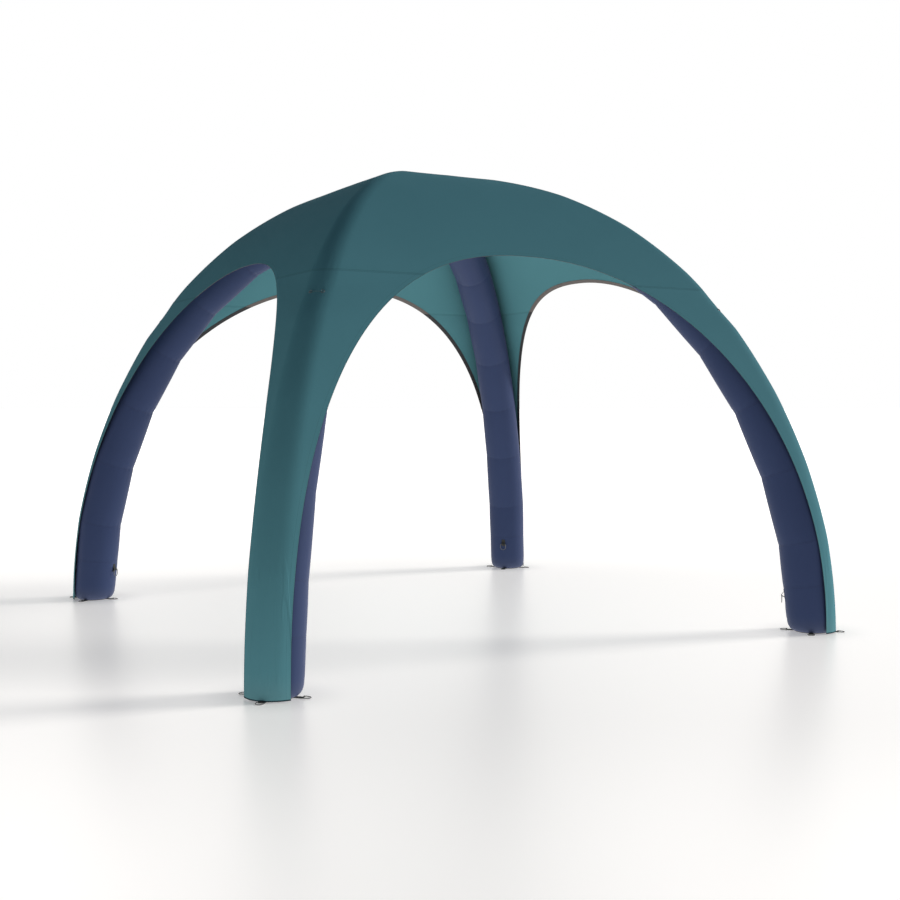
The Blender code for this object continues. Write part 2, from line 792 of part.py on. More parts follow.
def valve_matrix(height):
    """Return the frame of a valve: local Z out of the leg's inner face."""
    origin, normal, up = inner_face_frame(height)
    frame = axes_matrix(up.cross(normal), up, normal, origin)
    return leg_matrix(VALVE_LEG) @ frame


FLANGE_TOP = SEAT_GAP + VALVE_FLANGE_THICKNESS
COLLAR_TOP = FLANGE_TOP + VALVE_COLLAR_HEIGHT
WALL_STACK = SLEEVE_WALL + BLADDER_CLEARANCE + BLADDER_WALL
NUT_TOP = -(WALL_STACK + SEAT_GAP)
NUT_BOTTOM = NUT_TOP - VALVE_NUT_THICKNESS
HUB_TOP = SEAT_GAP + VALVE_HUB_HEIGHT
BUTTON_BOTTOM = HUB_TOP + VALVE_TRAVEL + 2.0 * PIN_CLEARANCE


def make_valve():
    """Make the inflation valve: body with its guide, plunger and turning cap."""
    matrix = valve_matrix(VALVE_HEIGHT)
    body = turned_piece("valve_body", [
        (VALVE_BORE_RADIUS, COLLAR_TOP), (VALVE_COLLAR_RADIUS, COLLAR_TOP),
        (VALVE_COLLAR_RADIUS, FLANGE_TOP), (VALVE_FLANGE_RADIUS, FLANGE_TOP),
        (VALVE_FLANGE_RADIUS, SEAT_GAP), (VALVE_NECK_RADIUS, SEAT_GAP),
        (VALVE_NECK_RADIUS, NUT_TOP), (VALVE_NUT_RADIUS, NUT_TOP),
        (VALVE_NUT_RADIUS, NUT_BOTTOM), (VALVE_BORE_RADIUS, NUT_BOTTOM)],
        VALVE_PLASTIC, matrix)
    hole = VALVE_STEM_RADIUS + PIN_CLEARANCE
    hub = turned_piece("valve_hub", [
        (hole, HUB_TOP), (VALVE_HUB_RADIUS, HUB_TOP),
        (VALVE_HUB_RADIUS, SEAT_GAP), (hole, SEAT_GAP)], VALVE_PLASTIC, matrix)
    add_boolean(body, as_cutter(hub), "UNION")
    for k in range(VALVE_SPOKES):
        spoke_mesh = bpy.data.meshes.new("valve_spoke")
        work = bmesh.new()
        bmesh.ops.create_cube(work, size=1.0)
        inner = 0.5 * (hole + VALVE_HUB_RADIUS)
        outer = 0.5 * (VALVE_BORE_RADIUS + VALVE_NECK_RADIUS)
        bmesh.ops.scale(work, verts=work.verts,
                        vec=(outer - inner, VALVE_SPOKE_WIDTH, 0.6 * VALVE_HUB_HEIGHT))
        bmesh.ops.translate(work, verts=work.verts,
                            vec=(0.5 * (inner + outer), 0.0, 0.5 * (SEAT_GAP + HUB_TOP)))
        work.to_mesh(spoke_mesh)
        work.free()
        turn = Matrix.Rotation(2.0 * math.pi * k / VALVE_SPOKES, 4, "Z")
        spoke = finish("valve_spoke_%d" % k, spoke_mesh, VALVE_PLASTIC, matrix @ turn)
        add_boolean(body, as_cutter(spoke), "UNION")

    seal_top = NUT_BOTTOM - SEAT_GAP
    seal_bottom = seal_top - VALVE_SEAL_THICKNESS
    button_top = BUTTON_BOTTOM + VALVE_BUTTON_THICKNESS
    turned_piece("valve_plunger", [
        (0.0, button_top), (VALVE_BUTTON_RADIUS, button_top),
        (VALVE_BUTTON_RADIUS, BUTTON_BOTTOM), (VALVE_STEM_RADIUS, BUTTON_BOTTOM),
        (VALVE_STEM_RADIUS, seal_top), (VALVE_SEAL_RADIUS, seal_top),
        (VALVE_SEAL_RADIUS, seal_bottom), (0.0, seal_bottom)],
        VALVE_PLASTIC, matrix, PLUNGER_STEPS)

    cap_inner = (VALVE_COLLAR_RADIUS + PIN_CLEARANCE) / math.cos(0.5 * math.pi / CAP_RIBS)
    cap_outer = cap_inner + CAP_WALL
    cap_under = COLLAR_TOP + SEAT_GAP
    cap_top = cap_under + CAP_WALL
    cap_bottom = FLANGE_TOP + SEAT_GAP
    cap = turned_piece("valve_cap", [
        (0.0, cap_top), (cap_outer - 0.5 * CAP_WALL, cap_top), (cap_outer, cap_under),
        (cap_outer, cap_bottom), (cap_inner, cap_bottom), (cap_inner, cap_under),
        (0.0, cap_under)], VALVE_PLASTIC, matrix, 2 * CAP_RIBS)
    for k in range(CAP_RIBS):
        turn = Matrix.Rotation(2.0 * math.pi * (k + 0.5) / CAP_RIBS, 4, "Z")
        shift = Matrix.Translation((cap_outer, 0.0, 0.0))
        rib = round_bar("cap_rib_%d" % k, CAP_RIB_RADIUS, cap_bottom, cap_under,
                        matrix @ turn @ shift, CAP_RIB_SIDES)
        add_boolean(cap, rib, "UNION")


def make_relief_valve():
    """Make the overpressure valve under the inflation valve, with its fixed dome."""
    matrix = valve_matrix(VALVE_HEIGHT - RELIEF_BELOW_VALVE)
    dome_top = FLANGE_TOP + RELIEF_CAP_HEIGHT
    turned_piece("relief_valve", [
        (0.0, dome_top), (RELIEF_CAP_FLAT_RADIUS, dome_top),
        (RELIEF_CAP_RADIUS, FLANGE_TOP + RELIEF_CAP_SHOULDER),
        (RELIEF_CAP_RADIUS, FLANGE_TOP + RELIEF_SLOT_HEIGHT),
        (RELIEF_CAP_RADIUS - RELIEF_CAP_UNDERCUT, FLANGE_TOP + RELIEF_SLOT_HEIGHT),
        (RELIEF_CAP_RADIUS - RELIEF_CAP_UNDERCUT, FLANGE_TOP), (RELIEF_FLANGE_RADIUS, FLANGE_TOP),
        (RELIEF_FLANGE_RADIUS, SEAT_GAP), (RELIEF_NECK_RADIUS, SEAT_GAP),
        (RELIEF_NECK_RADIUS, NUT_TOP), (RELIEF_NUT_RADIUS, NUT_TOP),
        (RELIEF_NUT_RADIUS, NUT_BOTTOM), (0.0, NUT_BOTTOM)], VALVE_PLASTIC, matrix)


def valve_ports():
    """Return the cutters of the two holes that the valves' necks pass through."""
    reach = 3.0 * WALL_STACK
    inflation = round_bar("inflation_port", VALVE_NECK_RADIUS + PIN_CLEARANCE, -reach, reach,
                          valve_matrix(VALVE_HEIGHT))
    relief = round_bar("relief_port", RELIEF_NECK_RADIUS + PIN_CLEARANCE, -reach, reach,
                       valve_matrix(VALVE_HEIGHT - RELIEF_BELOW_VALVE))
    return [inflation, relief]


# Sub-parts

def make_air_frame(ports):
    """Make the four sleeves and the bladder that lies in all of them."""
    mesh = tube_mesh("tube_sleeve", TUBE_RADIUS, BASE_HEIGHT, 0.5 * SEAT_GAP)
    for leg in LEG_TURNS:
        sleeve = finish("tube_sleeve_" + leg, mesh, TUBE_FABRIC, leg_matrix(leg), 40.0)
        add_wall(sleeve, SLEEVE_WALL)
        if leg == VALVE_LEG:
            for port in ports:
                add_boolean(sleeve, port, "DIFFERENCE")

    quarter = tube_mesh("air_bladder", BLADDER_RADIUS, BLADDER_BASE_HEIGHT, 0.0)
    quarter.transform(leg_matrix("back_right"))
    for vertex in quarter.vertices:
        for axis in (0, 1):
            if abs(vertex.co[axis]) < 1e-6:
                vertex.co[axis] = 0.0
    bladder = finish("air_bladder", quarter, BLADDER_FILM, None, 40.0)
    add_mirror(bladder, True, True)
    add_wall(bladder, BLADDER_WALL)
    for port in ports:
        add_boolean(bladder, port, "DIFFERENCE")


def make_canopy():
    """Make the roof, the four leg covers and the four hems along the arches."""
    lower = cover_rows()
    upper = roof_rows()
    cover_mesh = surface_mesh("leg_cover", canopy_grids(lower, 1))
    for leg in LEG_TURNS:
        cover = finish("leg_cover_" + leg, cover_mesh, CANOPY_FABRIC, leg_matrix(leg), 40.0)
        add_wall(cover, COVER_WALL)

    roof_mesh = surface_mesh("canopy_roof", canopy_grids(upper, PANEL_FACETS),
                             LEG_TURNS["back_right"])
    roof = finish("canopy_roof", roof_mesh, CANOPY_FABRIC, None, 40.0)
    add_mirror(roof, True, True)
    add_wall(roof, COVER_WALL)

    depth = COVER_WALL + HEM_GAP
    strip = []
    for row in lower[:-1] + [level_row(SEAM_HEIGHT)] + upper[1:]:
        if row["edge"] is not None:
            strip.append([on_side(point, -1.0) for point in hem_strip(row, depth)])
    hem_mesh = surface_mesh("arch_hem", [strip], LEG_TURNS["back_right"])
    for arch, turn in ARCH_TURNS.items():
        hem = finish("arch_hem_" + arch, hem_mesh, HEM_TAPE, Matrix.Rotation(turn, 4, "Z"), 40.0)
        add_mirror(hem, False, True)
        add_wall(hem, HEM_THICKNESS)


def ground_tab_outline(bar_distance):
    """Return the side outline of a ground tab, and of its hole for the ring's bar."""
    radius = loop_radius(GROUND_WIRE, WEB_THICKNESS)
    centre = (bar_distance, radius)
    start = 0.5 * PAD_RADIUS
    dip = math.asin((radius - PAD_THICKNESS) / radius)
    outline = [(start, 0.0)]
    outline += arc_points(centre, radius, -0.5 * math.pi, math.pi + dip, LOOP_STEPS)
    outline.append((start, PAD_THICKNESS))
    return [outline, bar_hole(centre, GROUND_WIRE)]


GROUND_SIDES = {
    "outer": (0.0, COVER_RADIUS + FOOT_SWELL + LOOP_OFF_COVER),
    "right": (math.radians(90.0), TUBE_RADIUS + FOOT_SWELL + LOOP_OFF_TUBE),
    "inner": (math.radians(180.0), TUBE_RADIUS + FOOT_SWELL + LOOP_OFF_TUBE),
    "left": (math.radians(270.0), TUBE_RADIUS + FOOT_SWELL + LOOP_OFF_TUBE),
}


def make_feet():
    """Make each leg's foot pad with its four webbing loops, and the rings in them."""
    loop = loop_radius(GROUND_WIRE, WEB_THICKNESS)
    far = GROUND_RING_REACH - 0.5 * GROUND_WIRE
    tilt = math.asin((loop - 0.5 * GROUND_WIRE - SEAT_GAP) / far)
    ring_data = ring_curve("ground_ring", GROUND_WIRE, GROUND_WEB_WIDTH, GROUND_RING_CORNER,
                           GROUND_RING_REACH, STEEL)
    for leg in LEG_TURNS:
        place = leg_matrix(leg) @ Matrix.Translation((FOOT_DISTANCE, 0.0, 0.0))
        work = bmesh.new()
        bmesh.ops.create_cone(work, cap_ends=True, segments=PAD_SIDES, radius1=PAD_RADIUS,
                              radius2=PAD_RADIUS, depth=PAD_THICKNESS)
        bmesh.ops.translate(work, verts=work.verts, vec=(0.0, 0.0, 0.5 * PAD_THICKNESS))
        mesh = bpy.data.meshes.new("foot_pad")
        work.to_mesh(mesh)
        work.free()
        pad = finish("foot_pad_" + leg, mesh, WEBBING, place)
        for side, (turn, distance) in GROUND_SIDES.items():
            facing = place @ Matrix.Rotation(turn, 4, "Z")
            upright = Matrix.Rotation(0.5 * math.pi, 4, "X")
            tab = flat_piece("ground_tab_%s_%s" % (leg, side), ground_tab_outline(distance),
                             GROUND_WEB_WIDTH, WEBBING, facing @ upright)
            add_boolean(pad, as_cutter(mesh_object_from(tab)), "UNION")
            bar = Matrix.Translation((distance, 0.0, loop))
            finish("ground_ring_%s_%s" % (leg, side), ring_data, STEEL,
                   facing @ bar @ Matrix.Rotation(tilt, 4, "Y"))


def inner_tab_outlines():
    """Return the side outlines of the inner tab: webbing, the gap behind it, the bar's hole."""
    loop = loop_radius(INNER_WIRE, WEB_THICKNESS)
    centre = (INNER_RING_STANDOFF, 0.0)
    back = SEAT_GAP
    front = SEAT_GAP + INNER_PATCH_THICKNESS
    upper = (front, INNER_WEB_TOP)
    lower = (front, -INNER_WEB_BOTTOM)
    top_turn = tangent_on_circle(upper, centre, loop, -1.0)
    bottom_turn = tangent_on_circle(lower, centre, loop, 1.0)
    bottom_turn = top_turn - (top_turn - bottom_turn) % (2.0 * math.pi)
    outline = [(back, -INNER_PATCH_BELOW), (back, INNER_PATCH_ABOVE),
               (front, INNER_PATCH_ABOVE), upper]
    outline += arc_points(centre, loop, top_turn, bottom_turn, LOOP_STEPS)
    outline += [lower, (front, -INNER_PATCH_BELOW)]
    gap = [(front, upper[1] - INNER_GAP_FROM_TOP), (front, lower[1] + INNER_GAP_FROM_BOTTOM),
           (centre[0] - loop - INNER_GAP_FROM_LOOP, INNER_GAP_TIP_HEIGHT)]
    return [outline, gap, bar_hole(centre, INNER_WIRE)]


def make_inner_tabs():
    """Make the webbing tab on each leg's inner face, with the ring that hangs in it."""
    origin, normal, up = inner_face_frame(INNER_RING_HEIGHT)
    side = normal.cross(up)
    bar_place = origin + normal * INNER_RING_STANDOFF
    ring_data = ring_curve("inner_ring", INNER_WIRE, INNER_WEB_WIDTH, INNER_RING_CORNER,
                           INNER_RING_REACH, STEEL)
    down = Vector((0.0, 0.0, -1.0))
    for leg in LEG_TURNS:
        turn = leg_matrix(leg)
        flat_piece("inner_tab_" + leg, inner_tab_outlines(), INNER_WEB_WIDTH, WEBBING,
                   turn @ axes_matrix(normal, up, side, origin))
        finish("inner_ring_" + leg, ring_data, STEEL,
               turn @ axes_matrix(down, side, down.cross(side), bar_place))


def upper_frame():
    """Return the place, outward normal and upward direction on the cover's ridge."""
    line = wrap_line(0)
    place = place_at_height(line[:, 2], UPPER_RING_HEIGHT)
    ridge = between(line, place)
    low = int(place)
    along = line[low + 1] - line[low]
    up = Vector(along).normalized()
    normal = Vector((up[2], 0.0, -up[0]))
    flank = between(wrap_line(1), place) - ridge
    drop = math.atan2(-Vector(flank).dot(normal), flank[1])
    return Vector(ridge), normal, up, drop


def upper_patch_outlines(drop):
    """Return the end outlines of the upper patch: a bent strip with a loop at each end."""
    loop = loop_radius(UPPER_WIRE, UPPER_WEB_THICKNESS)
    half = 0.5 * UPPER_LOOP_SPACING
    low = UPPER_PATCH_GAP
    high = low + UPPER_WEB_THICKNESS
    centre = (half, low + loop)
    dip = math.asin((loop - UPPER_WEB_THICKNESS) / loop)
    side = [(0.0, low)]
    side += arc_points(centre, loop, -0.5 * math.pi, math.pi + dip, LOOP_STEPS)
    side.append((0.0, high))
    holes = bar_hole(centre, UPPER_WIRE)

    def lean(point, way):
        x = point[0] * math.cos(drop) + point[1] * math.sin(drop)
        y = -point[0] * math.sin(drop) + point[1] * math.cos(drop)
        return (way * x, y)

    right = [lean(point, 1.0) for point in side[1:-1]]
    left = [lean(point, -1.0) for point in side[1:-1]]
    outline = [(0.0, low / math.cos(drop))] + right
    outline += [(0.0, high / math.cos(drop))] + list(reversed(left))
    hole_right = [lean(point, 1.0) for point in holes]
    hole_left = [lean(point, -1.0) for point in holes]
    return [outline, hole_right, hole_left], lean(centre, 1.0)


def make_upper_rings():
    """Make the patch on each cover's ridge, with its pair of small rings."""
    ridge, normal, up, drop = upper_frame()
    side = up.cross(normal)
    outlines, bar = upper_patch_outlines(drop)
    ring_data = ring_curve("upper_ring", UPPER_WIRE, UPPER_WEB_WIDTH, UPPER_RING_CORNER,
                           UPPER_RING_REACH, STEEL)
    for leg in LEG_TURNS:
        turn = leg_matrix(leg)
        flat_piece("upper_patch_" + leg, outlines, UPPER_WEB_WIDTH, WEBBING,
                   turn @ axes_matrix(side, normal, side.cross(normal), ridge))
        for name, way in (("right", 1.0), ("left", -1.0)):
            reach = side * (way * math.cos(UPPER_RING_TILT)) - normal * math.sin(UPPER_RING_TILT)
            place = ridge + side * (way * bar[0]) + normal * bar[1]
            frame = axes_matrix(reach, up * way, reach.cross(up * way), place)
            finish("upper_ring_%s_%s" % (leg, name), ring_data, STEEL, turn @ frame)


make_valve()
make_relief_valve()
make_air_frame(valve_ports())
make_canopy()
make_feet()
make_inner_tabs()
make_upper_rings()
bpy.context.view_layer.update()
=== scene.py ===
# %% [markdown]
# # An inflatable event tent
# Four air-filled legs curve up from the corners of a square and meet at a crown, and one
# stretched canopy lies over them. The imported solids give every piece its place. This script
# gives them their looks: real cloth surfaces in place of the thick stand-in solids, bent wire
# rings, sewn webbing and procedural finishes.

# %% load the frame
import json
import math

import bmesh
import bpy
import numpy as np
from mathutils import Matrix, Vector


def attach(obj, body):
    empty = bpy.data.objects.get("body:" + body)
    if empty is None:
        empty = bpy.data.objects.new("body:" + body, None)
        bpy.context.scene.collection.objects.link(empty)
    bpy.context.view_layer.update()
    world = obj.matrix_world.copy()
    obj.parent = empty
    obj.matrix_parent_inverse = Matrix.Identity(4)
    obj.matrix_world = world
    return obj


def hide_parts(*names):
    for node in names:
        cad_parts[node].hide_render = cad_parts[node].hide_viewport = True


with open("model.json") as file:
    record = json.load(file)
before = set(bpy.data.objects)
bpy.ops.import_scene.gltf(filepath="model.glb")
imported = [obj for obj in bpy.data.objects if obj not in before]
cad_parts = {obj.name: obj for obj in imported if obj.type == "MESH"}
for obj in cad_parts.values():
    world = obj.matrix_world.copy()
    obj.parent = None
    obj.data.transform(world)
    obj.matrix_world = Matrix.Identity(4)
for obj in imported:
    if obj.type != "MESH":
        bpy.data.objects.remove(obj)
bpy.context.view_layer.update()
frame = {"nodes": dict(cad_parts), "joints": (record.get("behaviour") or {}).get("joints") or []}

# %% [markdown]
# ## The camera
# The horizon and the four feet gave the camera's place: at chest height, nearly nine metres from
# the tent's middle, before its front left corner, with a normal lens. It comes first, so that
# the framing is settled before any piece is made.

# %% the camera
CAMERA_PLACE = Vector((-4.150, -7.723, 1.456))
CAMERA_FORWARD = Vector((0.4911, 0.8704, -0.0359))
CAMERA_ROLL = math.radians(-0.058)
CAMERA_LENS = 50.42

camera_data = bpy.data.cameras.new("camera")
camera_data.sensor_width = 36.0
camera_data.lens = CAMERA_LENS
camera = bpy.data.objects.new("camera", camera_data)
facing = CAMERA_FORWARD.to_track_quat("-Z", "Y").to_matrix().to_4x4()
roll = Matrix.Rotation(CAMERA_ROLL, 4, "Z")
camera.matrix_world = Matrix.Translation(CAMERA_PLACE) @ facing @ roll
bpy.context.scene.collection.objects.link(camera)
bpy.context.scene.camera = camera
bpy.context.scene.view_settings.view_transform = "Standard"
print("camera at", tuple(CAMERA_PLACE))

# %% [markdown]
# ## The line that every leg follows
# A real leg is a row of straight tube segments sewn at a slight angle to each other, so that it
# bends like an arch. Its centre line is a rounded arch in the vertical plane through the corner
# and the crown. Here it is sampled finely once, and every tube, cover and seam reads it, so
# that they keep together.

# %% sizes of the air frame
FOOT_DISTANCE = 2.600
CROWN_HEIGHT = 3.018
SPREAD_POWER = 0.890
RISE_POWER = 1.085
TUBE_RADIUS = 0.1405
COVER_RADIUS = 0.148
SWELL_HEIGHTS = (0.0, 0.600, 1.600)
SWELL_SIZES = (0.005, 0.0105, 0.0)
BASE_SEGMENT = 0.580
SEGMENTS_ABOVE_BASE = 8
BASE_HEIGHT = 0.0033
SAMPLES = 6000
QUARTER_TURN = 0.5 * math.pi


def running_sum(steps):
    """Return how far along a line each point lies, from the steps between them."""
    return np.concatenate([[0.0], np.cumsum(steps)])


def sample_line():
    """Return length, (out, up) place and outward normal along the smooth centre line."""
    turn = np.linspace(0.0, QUARTER_TURN, SAMPLES)
    out = FOOT_DISTANCE * np.maximum(np.cos(turn), 0.0) ** SPREAD_POWER
    up = (CROWN_HEIGHT - COVER_RADIUS) * np.sin(turn) ** RISE_POWER
    out[-1] = 0.0
    place = np.stack([out, up], axis=1)
    length = running_sum(np.linalg.norm(np.diff(place, axis=0), axis=1))
    slope = np.gradient(place, length, axis=0)
    slope[0] = (0.0, 1.0)
    slope[-1] = (-1.0, 0.0)
    slope /= np.linalg.norm(slope, axis=1)[:, None]
    return length, place, np.stack([slope[:, 1], -slope[:, 0]], axis=1)


LENGTH, PLACE, NORMAL = sample_line()
LEG_LENGTH = float(LENGTH[-1])
SWELL = np.interp(PLACE[:, 1], SWELL_HEIGHTS, SWELL_SIZES)
print("leg length", round(LEG_LENGTH, 3))

# %% [markdown]
# The sewn segments show as straight runs with soft kinks between them. The tube follows those
# straight runs. The canopy is stretched over the kinks and evens most of them out, except at
# the webbing patch, which is sewn down tight.

# %% the kinked line
SEAMS = np.concatenate([[0.0], np.linspace(BASE_SEGMENT, LEG_LENGTH, SEGMENTS_ABOVE_BASE + 1)])
PATCH_HEIGHT = 2.070
PATCH_REACH = 0.12
EVENING = 0.8


def read(values, length, at=LENGTH):
    """Read values that are known at some lengths along the leg, straight in between."""
    if values.ndim == 1:
        return float(np.interp(length, at, values))
    return np.array([np.interp(length, at, values[:, k]) for k in (0, 1)])


SEAM_PLACE = np.array([read(PLACE, length) for length in SEAMS])
SEAM_NORMAL = np.array([read(NORMAL, length) for length in SEAMS])
SEAM_SWELL = np.array([read(SWELL, length) for length in SEAMS])
CHORD = np.stack([np.interp(LENGTH, SEAMS, SEAM_PLACE[:, k]) for k in (0, 1)], axis=1)
ridge_height = PLACE[:, 1] + COVER_RADIUS * NORMAL[:, 1]
evening = EVENING - EVENING * np.exp(-((ridge_height - PATCH_HEIGHT) / PATCH_REACH) ** 4)
PATCH_LENGTH = float(np.interp(PATCH_HEIGHT, CHORD[:, 1] + COVER_RADIUS * NORMAL[:, 1], LENGTH))
EVENED = CHORD + evening[:, None] * (PLACE - CHORD)
print("seams at heights", [round(float(place[1]), 2) for place in SEAM_PLACE])

# %% [markdown]
# ## Finishing a piece
# Every piece is drawn in a bmesh and ends as a mesh whose object sits at the origin. The helper
# recalculates nothing by itself: each piece sees to its own outward faces, and the helper only
# links it, shades it, gives it a finish and lets it ride on a body.

# %% a helper that finishes a piece
LEG_TURNS = {
    "back_right": math.radians(45.0),
    "back_left": math.radians(135.0),
    "front_left": math.radians(225.0),
    "front_right": math.radians(315.0),
}


def make_piece(name, work, material, body="tent", sharp=40.0):
    """Turn a bmesh into a shaded piece that rides on a body."""
    mesh = bpy.data.meshes.new(name)
    work.to_mesh(mesh)
    work.free()
    mesh.materials.append(material)
    mesh.shade_smooth()
    mesh.set_sharp_from_angle(angle=math.radians(sharp))
    piece = bpy.data.objects.new(name, mesh)
    bpy.context.scene.collection.objects.link(piece)
    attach(piece, body)
    return piece


def add_wall(piece, thickness, offset=-1.0):
    """Give a surface the thickness of its cloth, with broad faces that shade flat to the rim."""
    wall = piece.modifiers.new("cloth", "SOLIDIFY")
    wall.thickness = thickness
    wall.offset = offset
    wall.use_even_offset = True
    even = piece.modifiers.new("even shading", "WEIGHTED_NORMAL")
    even.keep_sharp = True
    even.weight = 90


def leg_turn(leg, size=4):
    """Return the turn from a leg's own (out, side, up) frame to its corner."""
    return Matrix.Rotation(LEG_TURNS[leg], size, "Z")


def joint_of(name):
    """Return the place and the axis of the joint that moves a body."""
    joint = next(joint for joint in frame["joints"] if joint["child"] == name)
    return Vector(joint["pos_m"]), Vector(joint["axis"]).normalized()


print("legs", ", ".join(LEG_TURNS))

# %% [markdown]
# ## Node helpers for the finishes
# A cloth finish is a small network: a weave that follows the piece's own UV map, which is laid
# out in metres, a slow drift of colour, and fine roughness. These helpers keep each finish
# short to read.

# %% node helpers
FULL_TURN = 2.0 * math.pi


class Finish:
    """A Principled material with short ways to add and join nodes."""

    def __init__(self, name, colour, roughness, metallic=0.0, sheen=0.0):
        self.material = bpy.data.materials.new(name)
        self.material.use_nodes = True
        self.nodes = self.material.node_tree.nodes
        self.links = self.material.node_tree.links
        self.shader = self.nodes["Principled BSDF"]
        for socket, value in (("Base Color", (*colour, 1.0)), ("Roughness", roughness),
                              ("Metallic", metallic), ("Sheen Weight", sheen),
                              ("Sheen Roughness", 0.4), ("Sheen Tint", (*colour, 1.0))):
            self.set(socket, value)

    def put(self, socket, value):
        """Join a node's output to a socket, or set the socket."""
        if isinstance(value, bpy.types.NodeSocket):
            self.links.new(value, socket)
        else:
            socket.default_value = value

    def set(self, name, value):
        """Join or set one of the shader's own sockets."""
        self.put(self.shader.inputs[name], value)

    def math(self, operation, *values):
        """Return the result of a Math node."""
        node = self.nodes.new("ShaderNodeMath")
        node.operation = operation
        for socket, value in zip(node.inputs, values):
            self.put(socket, value)
        return node.outputs[0]

    def times(self, first, second):
        """Return a product."""
        return self.math("MULTIPLY", first, second)

    def plus(self, first, second):
        """Return a sum."""
        return self.math("ADD", first, second)

    def scaled(self, value, factor, start):
        """Return start plus a value times a factor."""
        return self.math("MULTIPLY_ADD", value, factor, start)

    def step(self, value, low, high):
        """Return 0 below low, 1 above high, and a smooth rise between."""
        node = self.nodes.new("ShaderNodeMapRange")
        node.interpolation_type = "SMOOTHSTEP"
        for name, given in (("Value", value), ("From Min", low), ("From Max", high)):
            self.put(node.inputs[name], given)
        return node.outputs["Result"]

    def mix(self, share, first, second):
        """Return the colour between two, each an output or (red, green, blue)."""
        node = self.nodes.new("ShaderNodeMix")
        node.data_type = "RGBA"
        self.put(node.inputs["Factor"], share)
        for name, colour in (("A", first), ("B", second)):
            self.put(node.inputs[name], (*colour, 1.0) if isinstance(colour, tuple) else colour)
        return node.outputs["Result"]

    def noise(self, where, scale, detail, stretch=(1.0, 1.0, 1.0)):
        """Return smooth noise, drawn out along the directions whose stretch is small."""
        mapping = self.nodes.new("ShaderNodeMapping")
        mapping.inputs["Scale"].default_value = stretch
        self.put(mapping.inputs["Vector"], where)
        node = self.nodes.new("ShaderNodeTexNoise")
        node.inputs["Scale"].default_value = scale
        node.inputs["Detail"].default_value = detail
        self.put(node.inputs["Vector"], mapping.outputs["Vector"])
        return node.outputs["Fac"]

    def split(self, vector):
        """Return a vector output with its X, Y and Z."""
        node = self.nodes.new("ShaderNodeSeparateXYZ")
        self.put(node.inputs[0], vector)
        return vector, node.outputs["X"], node.outputs["Y"], node.outputs["Z"]

    def uv(self, name="metres"):
        """Return one of the piece's UV maps, with its U and V."""
        node = self.nodes.new("ShaderNodeUVMap")
        node.uv_map = name
        return self.split(node.outputs["UV"])[:3]

    def place(self):
        """Return the place on the object, with its X, Y and Z."""
        return self.split(self.nodes.new("ShaderNodeTexCoord").outputs["Object"])

    def plain_weave(self, u, v, pitch):
        """Return the height of threads that pass over and under each other."""
        across, along = (self.math("SINE", self.times(way, FULL_TURN / pitch)) for way in (u, v))
        return self.times(across, along)

    def bump(self, height, distance, strength, under=None):
        """Return the normal of a height, laid over another bump if one is given."""
        node = self.nodes.new("ShaderNodeBump")
        node.inputs["Strength"].default_value = strength
        node.inputs["Distance"].default_value = distance
        self.put(node.inputs["Height"], height)
        if under is not None:
            self.put(node.inputs["Normal"], under)
        return node.outputs["Normal"]


print("helpers ready")

# %% [markdown]
# Both cloths gather dust near the ground and are sewn with thread, so these two helpers serve
# them both. Modelled stitches along all the seams would be thousands of pieces, and a dash in
# the finish looks the same from a step away.

# %% dust and stitches in a cloth's finish
STITCH = 0.0045


def dusted(finish, base, slow, z, heights, amount, dust):
    """Return a colour with dust on its lowest part, thicker in some places."""
    low = finish.math("SUBTRACT", 1.0, finish.step(z, *heights))
    return finish.mix(finish.times(low, finish.times(slow, amount)), base, dust)


def stitch_rows(finish, distance, run, rows, width=0.0007):
    """Return 1 on the dashes of thread that lie at some distances from a line."""
    total = None
    for row in rows:
        off = finish.math("ABSOLUTE", finish.math("SUBTRACT", distance, row))
        band = finish.math("SUBTRACT", 1.0, finish.step(off, 0.6 * width, width))
        total = band if total is None else finish.math("MAXIMUM", total, band)
    wave = finish.math("SINE", finish.times(run, FULL_TURN / STITCH))
    return finish.times(total, finish.step(wave, -0.75, -0.45))


print("stitches", STITCH, "m apart")

# %% [markdown]
# ## The canopy's cloth
# The canopy is a teal polyester, woven plain and coated inside. From a few metres it is matt
# with a soft sheen, its colour drifts a little, and it is dusty near the ground. The cross seam
# and the edge binding are each held by two rows of stitches, drawn in the same finish because
# they follow the same UV map. A picture of cloth could give the weave, but a wave of the map
# stays sharp at any distance.

# %% the canopy's finish
CANOPY_TEAL = (0.066, 0.190, 0.207)
CANOPY_SHADES = (0.060, 0.167, 0.193), (0.076, 0.201, 0.231)
CANOPY_DUST = (0.150, 0.205, 0.200)
CANOPY_THREAD = (0.045, 0.120, 0.130)
CANOPY_PAINTED_SEAM_SHADE = (0.030, 0.090, 0.100)
CANOPY_BOTTOM_DARK = (0.016, 0.034, 0.040)
CANOPY_SEAM_HEIGHT = 2.197
CANOPY_WEAVE = 0.0016
SEAM_ROWS = (-0.0045, 0.0045)
HEM_ROWS = (0.004, 0.024)
ALONG_THREADS = (1.0, 0.35, 1.0)


def canopy_colour(finish, slow, fine, z, thread, off_seam):
    """Return the teal with its drift, dust, thread, painted seam shade and darker lowest
    centimetre.
    """
    tone = finish.plus(finish.times(slow, 0.5), finish.times(fine, 0.5))
    base = finish.mix(tone, *CANOPY_SHADES)
    base = dusted(finish, base, slow, z, (0.01, 0.16), 0.22, CANOPY_DUST)
    base = finish.mix(thread, base, CANOPY_THREAD)
    # Painted shade: a narrow darker band either side of the cross seam stands in for the fold's
    # shade.
    shade = finish.step(finish.math("ABSOLUTE", off_seam), 0.009, 0.003)
    base = finish.mix(finish.times(shade, 0.16), base, CANOPY_PAINTED_SEAM_SHADE)
    # The lowest centimetre of the cloth is made nearly black.
    return finish.mix(finish.step(z, 0.0125, 0.0105), base, CANOPY_BOTTOM_DARK)


